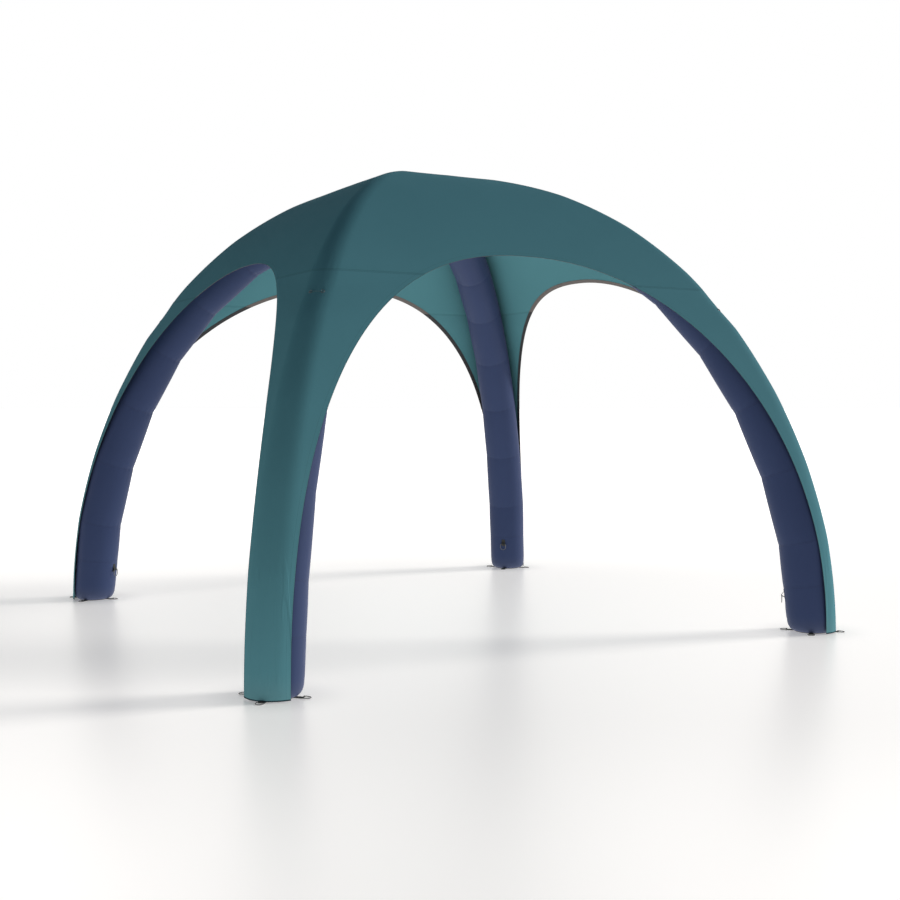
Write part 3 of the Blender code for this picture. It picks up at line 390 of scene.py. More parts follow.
def canopy_bump(finish, metres, u, v, where, z, thread):
    """Return the relief of the weave, the slack, the pulls near the foot and the thread."""
    cloth = finish.bump(finish.plain_weave(u, v, CANOPY_WEAVE), 0.00006, 0.5)
    slack = finish.noise(metres, 5.0, 3.0, ALONG_THREADS)
    cloth = finish.bump(slack, 0.004, 0.25, cloth)
    pulls = finish.step(finish.noise(where, 34.0, 0.0, (1.0, 1.0, 0.06)), 0.56, 0.72)
    lower = finish.times(finish.step(z, 0.02, 0.14), finish.step(z, 0.95, 0.45))
    cloth = finish.bump(finish.times(pulls, lower), 0.004, 0.5, cloth)
    return finish.bump(thread, 0.0003, 0.8, cloth)


def canopy_finish():
    """Return the canopy's finish, matt and a little dusty."""
    finish = Finish("canopy_fabric", CANOPY_TEAL, 0.72, sheen=0.15)
    finish.set("Specular IOR Level", 0.02)
    metres, u, v = finish.uv()
    run, distance = finish.uv("edge")[1:]
    where, _, _, z = finish.place()
    slow = finish.noise(where, 1.3, 3.0)
    fine = finish.noise(metres, 420.0, 1.0, ALONG_THREADS)
    off_seam = finish.math("SUBTRACT", z, CANOPY_SEAM_HEIGHT)
    thread = finish.math("MAXIMUM", stitch_rows(finish, off_seam, u, SEAM_ROWS),
                         stitch_rows(finish, distance, run, HEM_ROWS))
    finish.set("Base Color", canopy_colour(finish, slow, fine, z, thread, off_seam))
    finish.set("Roughness", finish.scaled(fine, 0.10, 0.72))
    finish.set("Normal", canopy_bump(finish, metres, u, v, where, z, thread))
    return finish.material


CANOPY_FABRIC = canopy_finish()
print("made", CANOPY_FABRIC.name)

# %% [markdown]
# ## The tube's cloth
# The sleeves are a heavier navy polyester, a little shinier than the canopy, with a violet cast
# where light grazes it. The cast comes from the sheen's tint, and not from the base colour,
# which would turn violet from every side. Fine streaks of the weave run round the tube.

# %% the sleeve's finish
TUBE_NAVY = (0.024, 0.038, 0.095)
TUBE_VIOLET = (0.35, 0.36, 0.60)
TUBE_SHADES = (0.0225, 0.034, 0.083), (0.0320, 0.047, 0.107)
TUBE_DUST = (0.110, 0.110, 0.120)
TUBE_THREAD = (0.018, 0.020, 0.045)
TUBE_WEAVE = 0.0018
TUBE_SEAM_ROWS = (-0.0042, 0.0042)


def sleeve_finish():
    """Return the sleeves' finish, with shallow creases and the seams' thread."""
    finish = Finish("tube_fabric", TUBE_NAVY, 0.55, sheen=0.14)
    finish.set("Sheen Tint", (*TUBE_VIOLET, 1.0))
    finish.set("Specular IOR Level", 0.07)
    metres, u, v = finish.uv()
    where, _, _, z = finish.place()
    slow = finish.noise(where, 2.1, 3.0)
    fine = finish.noise(metres, 380.0, 1.0, (0.3, 1.0, 1.0))
    tone = finish.plus(finish.times(slow, 0.6), finish.times(fine, 0.4))
    base = finish.mix(tone, *TUBE_SHADES)
    base = dusted(finish, base, slow, z, (0.0, 0.12), 0.30, TUBE_DUST)
    thread = stitch_rows(finish, finish.uv("seam")[2], u, TUBE_SEAM_ROWS, 0.0006)
    finish.set("Base Color", finish.mix(thread, base, TUBE_THREAD))
    finish.set("Roughness", finish.scaled(fine, 0.12, 0.48))
    cloth = finish.bump(finish.plain_weave(u, v, TUBE_WEAVE), 0.00007, 0.5)
    crease = finish.noise(metres, 9.0, 2.0, (0.5, 1.0, 1.0))
    cloth = finish.bump(crease, 0.003, 0.22, cloth)
    finish.set("Normal", finish.bump(thread, 0.0003, 0.8, cloth))
    return finish.material


SLEEVE_FABRIC = sleeve_finish()
print("made", SLEEVE_FABRIC.name)

# %% [markdown]
# ## Binding, webbing and film
# The edge binding is a ribbed tape, warm grey on the roof and black below the cross seam, on the
# leg covers. The webbing is black, with a coarse herringbone. One finish serves all three tapes,
# because they are woven alike and differ only in colour and rib. The bladder is a milky film.

# %% the tapes' finishes
BLACK_TAPE = (0.012, 0.013, 0.015), (0.026, 0.027, 0.030)
GREY_TAPE = (0.085, 0.072, 0.068), (0.135, 0.118, 0.112)
BLACK_WEBBING = (0.008, 0.009, 0.009), (0.022, 0.024, 0.023)
TEAL_WEBBING = (0.040, 0.125, 0.145), (0.055, 0.160, 0.185)
FILM_SHADES = (0.36, 0.39, 0.41), (0.47, 0.50, 0.52)


def tape_finish(name, shades, rib, depth, roughness, change=None):
    """Return a woven tape with slanted ribs; below a height it may change to black."""
    finish = Finish(name, shades[1], roughness, sheen=0.2)
    metres, u, v = finish.uv()
    slant = finish.plus(u, finish.math("PINGPONG", v, 0.0025))
    ribs = finish.math("SINE", finish.times(slant, FULL_TURN / rib))
    fine = finish.noise(metres, 300.0, 2.0)
    tone = finish.scaled(ribs, 0.25, finish.times(fine, 0.8))
    base = finish.mix(tone, *shades)
    if change:
        upper = finish.step(finish.place()[3], change - 0.004, change + 0.004)
        base = finish.mix(upper, finish.mix(tone, *BLACK_TAPE), base)
    finish.set("Base Color", base)
    finish.set("Roughness", finish.scaled(fine, 0.15, roughness - 0.08))
    finish.set("Normal", finish.bump(ribs, depth, 0.8))
    return finish.material


def film_finish():
    """Return the bladder's milky film, a little uneven."""
    finish = Finish("bladder_film", (0.42, 0.45, 0.47), 0.38)
    slow = finish.noise(finish.place()[0], 6.0, 3.0)
    finish.set("Base Color", finish.mix(slow, *FILM_SHADES))
    finish.set("Normal", finish.bump(slow, 0.002, 0.3))
    return finish.material


HEM_TAPE = tape_finish("hem_tape", GREY_TAPE, 0.0022, 0.00012, 0.80, CANOPY_SEAM_HEIGHT)
WEBBING = tape_finish("webbing", BLACK_WEBBING, 0.0026, 0.00030, 0.82)
TEAL_TAPE = tape_finish("teal_tape", TEAL_WEBBING, 0.0016, 0.00012, 0.75)
BLADDER_FILM = film_finish()
print("made", HEM_TAPE.name, WEBBING.name, TEAL_TAPE.name, BLADDER_FILM.name)

# %% [markdown]
# ## Steel and plastic
# The rings are bent from steel wire with a dark satin plating that has worn brighter in patches
# and carries fine scratches. The valves are black moulded plastic with a fine grain. Both are
# hard and cloudy in tone and gloss, so one function makes them.

# %% the hard finishes
STEEL_SHADES = (0.055, 0.058, 0.062), (0.14, 0.143, 0.148)
PLASTIC_SHADES = (0.016, 0.017, 0.020), (0.027, 0.028, 0.031)


def hard_finish(finish, shades, cloud, gloss, grain, depth):
    """Give a material a cloudy tone and gloss and a fine grain."""
    where = finish.place()[0]
    relief = finish.noise(where, *grain)
    tone = finish.noise(where, cloud, 2.0)
    finish.set("Base Color", finish.mix(tone, *shades))
    finish.set("Roughness", finish.scaled(tone, *gloss))
    finish.set("Normal", finish.bump(relief, depth, 0.5))
    return finish.material


RING_STEEL = hard_finish(
    Finish("ring_steel", (0.09, 0.093, 0.098), 0.34, metallic=1.0), STEEL_SHADES,
    cloud=60.0, gloss=(0.22, 0.24), grain=(900.0, 2.0, (1.0, 1.0, 0.15)), depth=0.00003)
VALVE_PLASTIC = hard_finish(
    Finish("valve_plastic", (0.020, 0.021, 0.024), 0.45), PLASTIC_SHADES,
    cloud=45.0, gloss=(0.14, 0.38), grain=(1400.0, 1.0), depth=0.00004)
print("made", RING_STEEL.name, VALVE_PLASTIC.name)

# %% [markdown]
# ## The panel between two legs
# Between two legs the cloth is straight across and curved only upwards, like a piece of a
# barrel. So each panel is a flat pattern bent over one profile: a point is named by its
# distance from the panel's middle and its length along that profile. The tape and the stitches
# can then be laid out on the flat pattern.

# %% the panel's profile
SQRT2 = math.sqrt(2.0)
ARCH_HEIGHT = 2.353
ARCH_POWER = 2.2
ARCH_INSET = 0.0235
ARCH_HALF_WIDTH = FOOT_DISTANCE / SQRT2 - ARCH_INSET
ARCH_SAMPLES = 1200


def sample_panel():
    """Return profile length, face distance, height, and the normal's two parts."""
    angle = np.arctan(NORMAL[:, 0])
    reach = (COVER_RADIUS + SWELL) * np.cos(angle)
    out = PLACE[:, 0] + reach * NORMAL[:, 0]
    face = (out + (COVER_RADIUS + SWELL) * np.sin(angle)) / SQRT2
    height = PLACE[:, 1] + reach * NORMAL[:, 1]
    length = running_sum(np.hypot(np.diff(face), np.diff(height)))
    return length, face, height, SQRT2 * np.sin(angle), np.cos(angle) * NORMAL[:, 1]


PANEL_LENGTH, PANEL_FACE, PANEL_HEIGHT, NORMAL_FACE, NORMAL_UP = sample_panel()


def panel_profile(along, shift, depth=0.0):
    """Return the face distance and the height at a length of the profile, sunk by a depth."""
    face = np.interp(along, PANEL_LENGTH, PANEL_FACE - depth * NORMAL_FACE) + shift[0]
    height = np.interp(along, PANEL_LENGTH, PANEL_HEIGHT - depth * NORMAL_UP) + shift[1]
    return face, height


def panel_point(across, along, shift):
    """Return the (out, side, up) place of a pattern point."""
    face, height = panel_profile(along, shift)
    return np.array([(face + across) / SQRT2, (face - across) / SQRT2, height])


def arch_edge(turn):
    """Return the panel's free edge, the arch that people walk through."""
    power = 2.0 / ARCH_POWER
    across = ARCH_HALF_WIDTH * max(math.cos(turn), 0.0) ** power
    height = ARCH_HEIGHT * math.sin(turn) ** power
    return np.array([across, float(np.interp(height, PANEL_HEIGHT, PANEL_LENGTH))])


def arch_turn_at(height):
    """Return the turn at which the arch edge reaches a height."""
    return math.asin(min(height / ARCH_HEIGHT, 1.0) ** (ARCH_POWER / 2.0))


ARCH_TURNS = np.linspace(0.0, QUARTER_TURN, ARCH_SAMPLES)
ARCH_LINE = np.array([arch_edge(turn) for turn in ARCH_TURNS])
ARCH_RUN = running_sum(np.linalg.norm(np.diff(ARCH_LINE, axis=0), axis=1))
print("half arch is", round(float(ARCH_RUN[-1]), 3), "m long")

# %% [markdown]
# ## Rows of the canopy
# One row of the canopy starts on a leg's ridge, wraps the tube as far as the cloth touches it,
# and runs on along the panel to the arch edge or, above the arch, to the panel's middle. Rows
# stand closer at the webbing patch and at the cross seam, which is folded and felled into a flat
# raised band.

# %% the rows and columns
WRAP_COLUMNS = 8
PANEL_COLUMNS = 15
COVER_ROWS = 58
ROOF_ROWS = 26
COVER_BASE = 0.0045
SEAM_BAND = 0.007
SEAM_BAND_FOOT = 0.0085
SEAM_RISE = 0.0009
PATCH_ROWS = (-0.034, -0.022, -0.009, 0.0, 0.009, 0.022, 0.034)
PATCH_CLEAR = 0.045


def ring_place(centre, normal, radius, angle):
    """Return a place on the round of a tube, in the leg's own frame."""
    reach = radius * math.cos(angle)
    return np.array([centre[0] + reach * normal[0], radius * math.sin(angle),
                     centre[1] + reach * normal[1]])


def wrap_place(length, angle):
    """Return a place on the round of the covered tube."""
    radius = COVER_RADIUS + read(SWELL, length)
    return ring_place(read(EVENED, length), read(NORMAL, length), radius, angle)


def tangent_place(length):
    """Return where the cloth leaves the tube."""
    return wrap_place(length, math.atan(read(NORMAL, length)[0]))


def row_lengths():
    """Return the lengths along the leg of every row, and those of the seam and the arch's top."""
    tried = LENGTH[::20]
    height = np.array([tangent_place(length)[2] for length in tried])
    low = float(np.interp(COVER_BASE, height, tried))
    seam = float(np.interp(CANOPY_SEAM_HEIGHT, height, tried))
    steps = (-SEAM_BAND_FOOT, -SEAM_BAND, 0.0, SEAM_BAND, SEAM_BAND_FOOT)
    band = [seam + step for step in steps]
    middle = 0.5 * (seam + LEG_LENGTH)
    lower = [length for length in np.linspace(low, band[0], COVER_ROWS)
             if abs(length - PATCH_LENGTH) > PATCH_CLEAR]
    lower += [PATCH_LENGTH + step for step in PATCH_ROWS]
    roof_low = np.linspace(band[-1], middle, ROOF_ROWS)
    roof_high = np.linspace(middle, LEG_LENGTH, ROOF_ROWS)
    return sorted(lower) + band[1:-1] + list(roof_low) + list(roof_high[1:]), seam, middle


ROWS, SEAM_LENGTH, ARCH_END_LENGTH = row_lengths()
print("rows", len(ROWS), "columns", WRAP_COLUMNS + PANEL_COLUMNS)

# %% [markdown]
# ## The canopy's eighth
# The canopy has eight equal halves of corners, so only one is drawn: a flat grid whose points
# are moved to their rows. It is mirrored across the leg, spun to the other corners and welded.
# Its UV map holds the flat pattern in metres, and a second map the distance from the arch edge.

# %% where a grid point of the canopy goes


def row_turn(length):
    """Return the turn of the arch edge at which a row ends."""
    if length <= SEAM_LENGTH:
        return arch_turn_at(tangent_place(length)[2])
    first = arch_turn_at(CANOPY_SEAM_HEIGHT)
    share = (length - SEAM_LENGTH) / (ARCH_END_LENGTH - SEAM_LENGTH)
    return first + (QUARTER_TURN - first) * share


def row_end(length):
    """Return the pattern point where a row ends, on the arch edge or the panel's middle."""
    if length <= ARCH_END_LENGTH:
        return arch_edge(row_turn(length))
    share = (length - ARCH_END_LENGTH) / (LEG_LENGTH - ARCH_END_LENGTH)
    top = ARCH_LINE[-1][1]
    return np.array([0.0, top + share * (PANEL_LENGTH[-1] - top)])


def row_start(length):
    """Return the pattern point where the cloth leaves the tube, and its small offset."""
    tangent = tangent_place(length)
    across = (tangent[0] - tangent[1]) / SQRT2
    along = float(np.interp(length, LENGTH, PANEL_LENGTH))
    face = (tangent[0] + tangent[1]) / SQRT2
    shift = np.array([face - np.interp(along, PANEL_LENGTH, PANEL_FACE),
                      tangent[2] - np.interp(along, PANEL_LENGTH, PANEL_HEIGHT)])
    return np.array([across, along]), shift


def edge_distance(pattern, further=0.0):
    """Return the place along the arch edge that is nearest, and the distance from it."""
    gaps = np.linalg.norm(ARCH_LINE - np.array(pattern), axis=1)
    nearest = int(np.argmin(gaps))
    return float(ARCH_RUN[nearest]), float(gaps[nearest]) + further


def canopy_place(row, column):
    """Return a grid point's place, its metres on the cloth and its run along and off the edge."""
    length = ROWS[row]
    edge_angle = math.atan(read(NORMAL, length)[0])
    wrap = (COVER_RADIUS + read(SWELL, length)) * edge_angle
    start, shift = row_start(length)
    if column <= WRAP_COLUMNS:
        share = column / WRAP_COLUMNS
        place = wrap_place(length, edge_angle * share)
        return place, (wrap * share, length), edge_distance(start, wrap * (1.0 - share))
    share = (column - WRAP_COLUMNS) / PANEL_COLUMNS
    across, along = start * (1.0 - share) + row_end(length) * share
    place = panel_point(across, along, shift * (1.0 - share))
    return place, (wrap + start[0] - across, along), edge_distance((across, along))


print("ridge starts at", [round(float(v), 3) for v in canopy_place(0, 0)[0]])

# %% [markdown]
# The cloth is pulled tight, so its folds are shallow: two long creases down each leg cover
# near the foot, a small pucker where the cross seam passes over the tube, and short pulls at
# the webbing patch. They are smooth bumps of a few millimetres, pressed into the grid. A cloth
# simulation would hardly move a cloth as tight as this.

# %% the canopy's shallow folds
CREASES = ((0.052, 0.0028), (-0.074, 0.0022))
CREASE_WIDTH = 0.011
CREASE_HEIGHT, CREASE_REACH = 0.22, 0.17
PUCKER_DEPTH, PUCKER_WAVES = 0.0018, 190.0
PATCH_SINK = 0.0010
PATCH_HALF_LENGTH, PATCH_HALF_WIDTH = 0.009, 0.034
PATCH_SLOPE = 0.1088


def hump(value, middle, width):
    """Return a smooth bump, 1 in the middle and 0 well away from it."""
    return math.exp(-((value - middle) / width) ** 2)


def window(value, low, high, soft):
    """Return 1 between low and high and fall smoothly to 0 outside."""
    outside = min(max(low - value, value - high, 0.0) / soft, 1.0)
    return 1.0 - outside * outside * (3.0 - 2.0 * outside)


def fold_depth(side, height, length):
    """Return how far the cloth sinks, from its metres to the ridge's side and along the leg."""
    off = abs(side)
    patch = window(length, PATCH_LENGTH - PATCH_HALF_LENGTH, PATCH_LENGTH + PATCH_HALF_LENGTH,
                   0.025)
    patch *= window(off, 0.0, PATCH_HALF_WIDTH, 0.020)
    sink = patch * (PATCH_SINK + max(0.0, PATCH_SLOPE * off - off * off / (2.0 * COVER_RADIUS)))
    for middle, deep in CREASES:
        crease = deep * hump(side, middle, CREASE_WIDTH)
        sink += crease * hump(height, CREASE_HEIGHT, CREASE_REACH)
    pucker = PUCKER_DEPTH * hump(length, SEAM_LENGTH, 0.045)
    return sink + pucker * (0.5 + 0.5 * math.cos(side * PUCKER_WAVES)) * hump(side, 0.0, 0.10)


print("fold at the crease", round(fold_depth(0.052, 0.22, 0.3), 4))

# %% [markdown]
# A grid is the plainest start for any cloth: each of its points knows its row and column, so
# one function can say where it goes and what its UV maps hold. The canopy, the binding and all
# the webbing start this way.

# %% draw the canopy's eighth and press the folds in


def bend_grid(work, columns, rows, point, *names):
    """Draw a grid and put each of its points, and its UVs in the named maps, where point says."""
    maps = [work.loops.layers.uv.get(name) or work.loops.layers.uv.new(name) for name in names]
    verts = bmesh.ops.create_grid(work, x_segments=columns, y_segments=rows, size=0.5)["verts"]
    known = {}
    for vertex in verts:
        row, column = round((vertex.co.y + 0.5) * rows), round((vertex.co.x + 0.5) * columns)
        place, *pairs = point(row, column)
        vertex.co, known[vertex] = place, pairs
    for face in {face for vertex in verts for face in vertex.link_faces}:
        for loop in face.loops:
            for layer, pair in zip(maps, known[loop.vert]):
                loop[layer].uv = pair


def raise_seam_and_fold(work):
    """Raise the felled seam's band and press the shallow folds in, along the normals."""
    work.normal_update()
    metres = work.loops.layers.uv["metres"]
    moves = []
    for vertex in work.verts:
        height = vertex.co.z
        in_band = abs(height - CANOPY_SEAM_HEIGHT) < SEAM_BAND + 0.0008
        rise = SEAM_RISE if in_band else 0.0
        if height < CANOPY_SEAM_HEIGHT + 0.2:
            side, length = vertex.link_loops[0][metres].uv
            rise -= fold_depth(side, height, length)
        moves.append((vertex, vertex.normal * rise))
    for vertex, move in moves:
        vertex.co += move


work = bmesh.new()
bend_grid(work, WRAP_COLUMNS + PANEL_COLUMNS, len(ROWS) - 1, canopy_place, "metres", "edge")
print("one half of a corner has", len(work.faces), "faces")

# %% [markdown]
# Mirror, spin and weld make the whole cloth. The normals are recalculated after the weld and
# before the cloth gets its thickness, so that the whole sheet looks outwards.

# %% mirror, spin and weld
AXIS_X, AXIS_Y, AXIS_Z = Matrix.Identity(3)


def all_of(work):
    """Return all points, edges and faces of a bmesh, as an operator's geometry."""
    return work.verts[:] + work.edges[:] + work.faces[:]


def weld_outwards(work, distance=0.0002):
    """Weld doubles, drop faces without area and turn every face outwards."""
    bmesh.ops.remove_doubles(work, verts=work.verts, dist=distance)
    bmesh.ops.dissolve_degenerate(work, edges=work.edges, dist=0.00001)
    bmesh.ops.recalc_face_normals(work, faces=work.faces)
    outwards = sum(face.calc_area() * face.normal.dot(face.calc_center_median().normalized())
                   for face in work.faces)
    if outwards < 0.0:
        bmesh.ops.reverse_faces(work, faces=work.faces)


def mirror_half(work, distance=0.0002):
    """Mirror a half across its own Y and weld it."""
    bmesh.ops.mirror(work, geom=all_of(work), axis="Y", merge_dist=0.0001)
    weld_outwards(work, distance)


def spin_to_corners(work):
    """Turn what is drawn for one leg to its corner, copy it to the others and weld it."""
    bmesh.ops.rotate(work, verts=work.verts, matrix=leg_turn("back_right", 3))
    bmesh.ops.spin(work, geom=all_of(work), axis=AXIS_Z, cent=(0.0, 0.0, 0.0),
                   angle=0.75 * FULL_TURN, steps=3, use_duplicate=True)
    weld_outwards(work)


mirror_half(work)
raise_seam_and_fold(work)
spin_to_corners(work)
print("the whole canopy has", len(work.faces), "faces")

# %% thicken the canopy
CLOTH = 0.0010
canopy_area = sum(face.calc_area() for face in work.faces)
canopy = make_piece("canopy", work, CANOPY_FABRIC)
add_wall(canopy, CLOTH)
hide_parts("canopy_roof", "leg_cover_back_left", "leg_cover_back_right",
            "leg_cover_front_left", "leg_cover_front_right")
print("canopy's cloth measures", round(canopy_area, 2), "square metres")

# %% [markdown]
# ## The binding along the arches
# A tape 28 mm wide is sewn inside each arch edge, where the photograph shows it, and its edge is
# folded round the cloth's raw edge. It is drawn as the tape's folded section, run along half an
# arch on the flat pattern, mirrored to the other half and thickened away from the canopy.

# %% the folded tape of one arch
HEM_WIDTH = 0.028
TAPE = 0.0008
FOLD_GAP = 0.0004
SECTION_STEP = 0.004
EDGE_STEP = 0.002


def tape_section(width):
    """Return the folded tape as (distance in from the edge, depth under the cloth)."""
    inside = CLOTH + FOLD_GAP
    leaf = [(width * (1.0 - k / 5.0) + 0.0015 * k / 5.0, inside) for k in range(6)]
    return leaf + [(-0.0003, inside - 0.0003), (-0.0007, 0.5 * CLOTH), (-0.0006, 0.0)]


def arch_rows():
    """Return each row's arch turn, the tape's width there, and the cloth's offset and span."""
    rows = []
    for length in ROWS:
        if length > ARCH_END_LENGTH + 1e-9:
            break
        turn = row_turn(length)
        start, shift = row_start(length)
        span = float(np.linalg.norm(start - arch_edge(turn)))
        rows.append((turn, min(HEM_WIDTH, 0.85 * span), shift, span))
    return rows


TAPE_ROWS = arch_rows()


def tape_place(row, column):
    """Return a point of the tape, square to the arch edge, with its metres on the tape."""
    turn, width, shift, span = TAPE_ROWS[row]
    distance, depth = tape_section(width)[column]
    low = arch_edge(max(turn - EDGE_STEP, 1e-6))
    high = arch_edge(min(turn + EDGE_STEP, QUARTER_TURN))
    way = (high - low) / np.linalg.norm(high - low)
    across, along = arch_edge(turn) + distance * np.array([way[1], -way[0]])
    if turn > QUARTER_TURN - 0.0025:
        across = 0.0
    shift = shift * min(max(distance / span, 0.0), 1.0)
    face, height = panel_profile(along, shift, depth)
    run = float(np.interp(turn, ARCH_TURNS, ARCH_RUN))
    return (face, across, height), (run, column * SECTION_STEP)


print("the tape has", len(TAPE_ROWS), "rows to the arch's top")

# %% run the tape along the four arches
ARCH_TURN_OF = {"right": 0.0, "back": math.radians(90.0), "left": math.radians(180.0),
                "front": math.radians(270.0)}
for arch, turn in ARCH_TURN_OF.items():
    work = bmesh.new()
    bend_grid(work, len(tape_section(HEM_WIDTH)) - 1, len(TAPE_ROWS) - 1, tape_place, "metres")
    mirror_half(work, 0.00002)
    bmesh.ops.reverse_faces(work, faces=work.faces)
    bmesh.ops.rotate(work, verts=work.verts, matrix=Matrix.Rotation(turn, 3, "Z"))
    tape = make_piece("arch_tape_" + arch, work, HEM_TAPE)
    add_wall(tape, TAPE, 1.0)
    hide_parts("arch_hem_" + arch)

# %% [markdown]
# ## The sleeves
# A sleeve is a sewn fabric tube that the air inside keeps round. Between two seams it swells a
# little, each seam pulls it in under a flat felled band, and on the inner side of every bend the
# cloth has to spare and wrinkles. A curve with a round bevel would be quicker, but its rings
# can't swell, wrinkle or end in a mitre. So one circle is extruded upwards ring by ring, as a
# plain tube, and the tube is then bent onto the leg.

# %% the levels of a tube
LOW_SEAM = 0.300
FOOT_ROUND = 0.060
FOOT_INSET = 0.040
FOOT_LEVELS = 8
MITRE_STEPS = 14
TUBE_SEAMS = [LOW_SEAM] + [float(length) for length in SEAMS[1:-1]]
FINE_STEPS = (0.0, 0.0055, 0.0065, 0.012, 0.020, 0.032, 0.050, 0.080, 0.120, 0.160, 0.200)
COARSE_STEPS = (0.0, 0.100, 0.200)


def nearest_seam(length):
    """Return the tube seam that is nearest to a length."""
    return min(TUBE_SEAMS, key=lambda seam: abs(seam - length))


def tube_levels(base, steps):
    """Return every level of a tube below the last seam, as (length, foot turn or None)."""
    lengths = set()
    for seam in TUBE_SEAMS:
        for step in steps:
            for length in (seam - step, seam + step):
                in_reach = base + FOOT_ROUND + 0.008 < length <= TUBE_SEAMS[-1]
                if nearest_seam(length) == seam and in_reach:
                    lengths.add(round(length, 5))
    levels = [(base, QUARTER_TURN * k / FOOT_LEVELS) for k in range(FOOT_LEVELS + 1)]
    return levels + [(length, None) for length in sorted(lengths)]


print("levels of a sleeve", len(tube_levels(BASE_HEIGHT, FINE_STEPS)))

# %% [markdown]
# The valves and the webbing tab sit on a stiff, flat place of the inner side. There the round
# tube gives way to a flat strip.

# %% the round of the tube
SEGMENT_SWELL = 0.0012
SEAM_PULL = 0.0008
INNER_PULL = 0.0010
SEAM_BAND_HALF, SEAM_BAND_RISE = 0.0060, 0.0006
WRINKLE, LOW_WRINKLE = 0.0012, 0.0004
FACET_HALF = math.pi / 14.0
TAB_HEIGHT, RELIEF_HEIGHT, VALVE_HEIGHT = 0.225, 0.380, 0.440
TAB_STRIP = (TAB_HEIGHT - 0.030, TAB_HEIGHT + 0.050)
VALVE_STRIP = (RELIEF_HEIGHT - 0.025, VALVE_HEIGHT + 0.030)
STRIP_SOFT = 0.035
STRIP_TURN = 0.16


def cloth_radius(radius, length, height, angle, with_valve):
    """Return the sleeve's radius at a place, with its swell, seams, wrinkles and flat strip."""
    seam = nearest_seam(length)
    number = TUBE_SEAMS.index(seam)
    off = abs(length - seam)
    inner = max(0.0, -math.cos(angle)) ** 1.5
    full = radius * 0.995 + SEGMENT_SWELL * (1.0 - hump(off, 0.0, 0.11))
    full -= (SEAM_PULL + INNER_PULL * inner) * hump(off, 0.0, 0.013)
    if off <= SEAM_BAND_HALF:
        full += SEAM_BAND_RISE
    ripple = math.cos(angle * 19.0 + number * 1.7) + 0.5 * math.cos(angle * 31.0 + number * 2.9)
    wrinkle = WRINKLE if number > 0 else LOW_WRINKLE
    full += wrinkle * ripple * inner * hump(off, 0.014, 0.022)
    flat = radius * math.cos(FACET_HALF) - 0.0001
    stiff = window(height, *TAB_STRIP, STRIP_SOFT)
    if with_valve:
        stiff = max(stiff, window(height, *VALVE_STRIP, STRIP_SOFT))
    turned = abs(abs(angle) - math.pi)
    share = stiff * window(turned, 0.0, STRIP_TURN, STRIP_TURN)
    return full * (1.0 - share) + flat / math.cos(min(turned, 0.4)) * share


print("radius under the valve", round(cloth_radius(0.15, 0.44, 0.44, math.pi, True), 4))

# %% bend a plain tube onto the leg


def level_frame(length, foot_turn, radius):
    """Return centre, normal, radius and cloth length of a level below the last seam."""
    upright = np.array([1.0, 0.0])
    if foot_turn is not None:
        height = length + FOOT_ROUND * (1.0 - math.cos(foot_turn))
        centre = np.array([np.interp(height, CHORD[:, 1], CHORD[:, 0]), height])
        round_radius = radius + 0.0052 - FOOT_INSET * (1.0 - math.sin(foot_turn))
        return centre, upright, round_radius, height
    share = min(1.0, (length - FOOT_ROUND) / (BASE_SEGMENT - FOOT_ROUND))
    normal = read(SEAM_NORMAL, length, SEAMS)
    if share < 1.0:
        normal = upright * (1.0 - share) + SEAM_NORMAL[1] * share
    return (read(SEAM_PLACE, length, SEAMS), normal / np.linalg.norm(normal),
            radius + read(SEAM_SWELL, length, SEAMS), length)


def mitre_place(point, gap):
    """Run a point of the last ring on to the plane where the next leg's sleeve begins."""
    way = SEAM_PLACE[-1] - SEAM_PLACE[-2]
    way = way / np.linalg.norm(way)
    reach = (abs(point[1]) + SQRT2 * gap - point[0]) / way[0]
    return np.array([point[0] + way[0] * reach, point[1], point[2] + way[1] * reach])


def tube_place(levels, number, angle, radius, gap, cloth, with_valve):
    """Return the place and the cloth length of a point of the tube."""
    beyond = max(0, number - (len(levels) - 1))
    length, foot_turn = levels[min(number, len(levels) - 1)]
    centre, normal, wide, metres = level_frame(length, foot_turn, radius)
    if cloth and foot_turn is None:
        wide = cloth_radius(wide, length, centre[1], angle, with_valve)
    elif cloth:
        wide *= 0.992
    place = ring_place(centre, normal, wide, angle)
    if beyond:
        full = ring_place(centre, normal, wide + (0.0022 if cloth else 0.0), angle)
        end = mitre_place(full, gap)
        share = beyond / MITRE_STEPS
        blend = min(1.0, share * 4.0)
        start = place * (1.0 - blend) + full * blend
        metres += float(np.linalg.norm(end - full)) * share
        place = start + (end - full) * share
    return place, metres


top_point = mitre_place(np.array([0.3, 0.0, 2.9]), 0.0002)
print("mitre of the top point", [round(float(v), 3) for v in top_point])

# %% draw a tube with its maps


def circle(work, radius, segments):
    """Draw an open circle and return its points and edges."""
    verts = bmesh.ops.create_circle(work, cap_ends=False, radius=radius,
                                    segments=segments)["verts"]
    return verts, list(dict.fromkeys(edge for vertex in verts for edge in vertex.link_edges))


def extrude_ring(work, edges):
    """Extrude a ring of edges in place and return the new ring's points and edges."""
    grown = bmesh.ops.extrude_edge_only(work, edges=edges)["geom"]
    verts = [item for item in grown if isinstance(item, bmesh.types.BMVert)]
    known = set(verts)
    return verts, [item for item in grown if isinstance(item, bmesh.types.BMEdge)
                   and item.verts[0] in known and item.verts[1] in known]


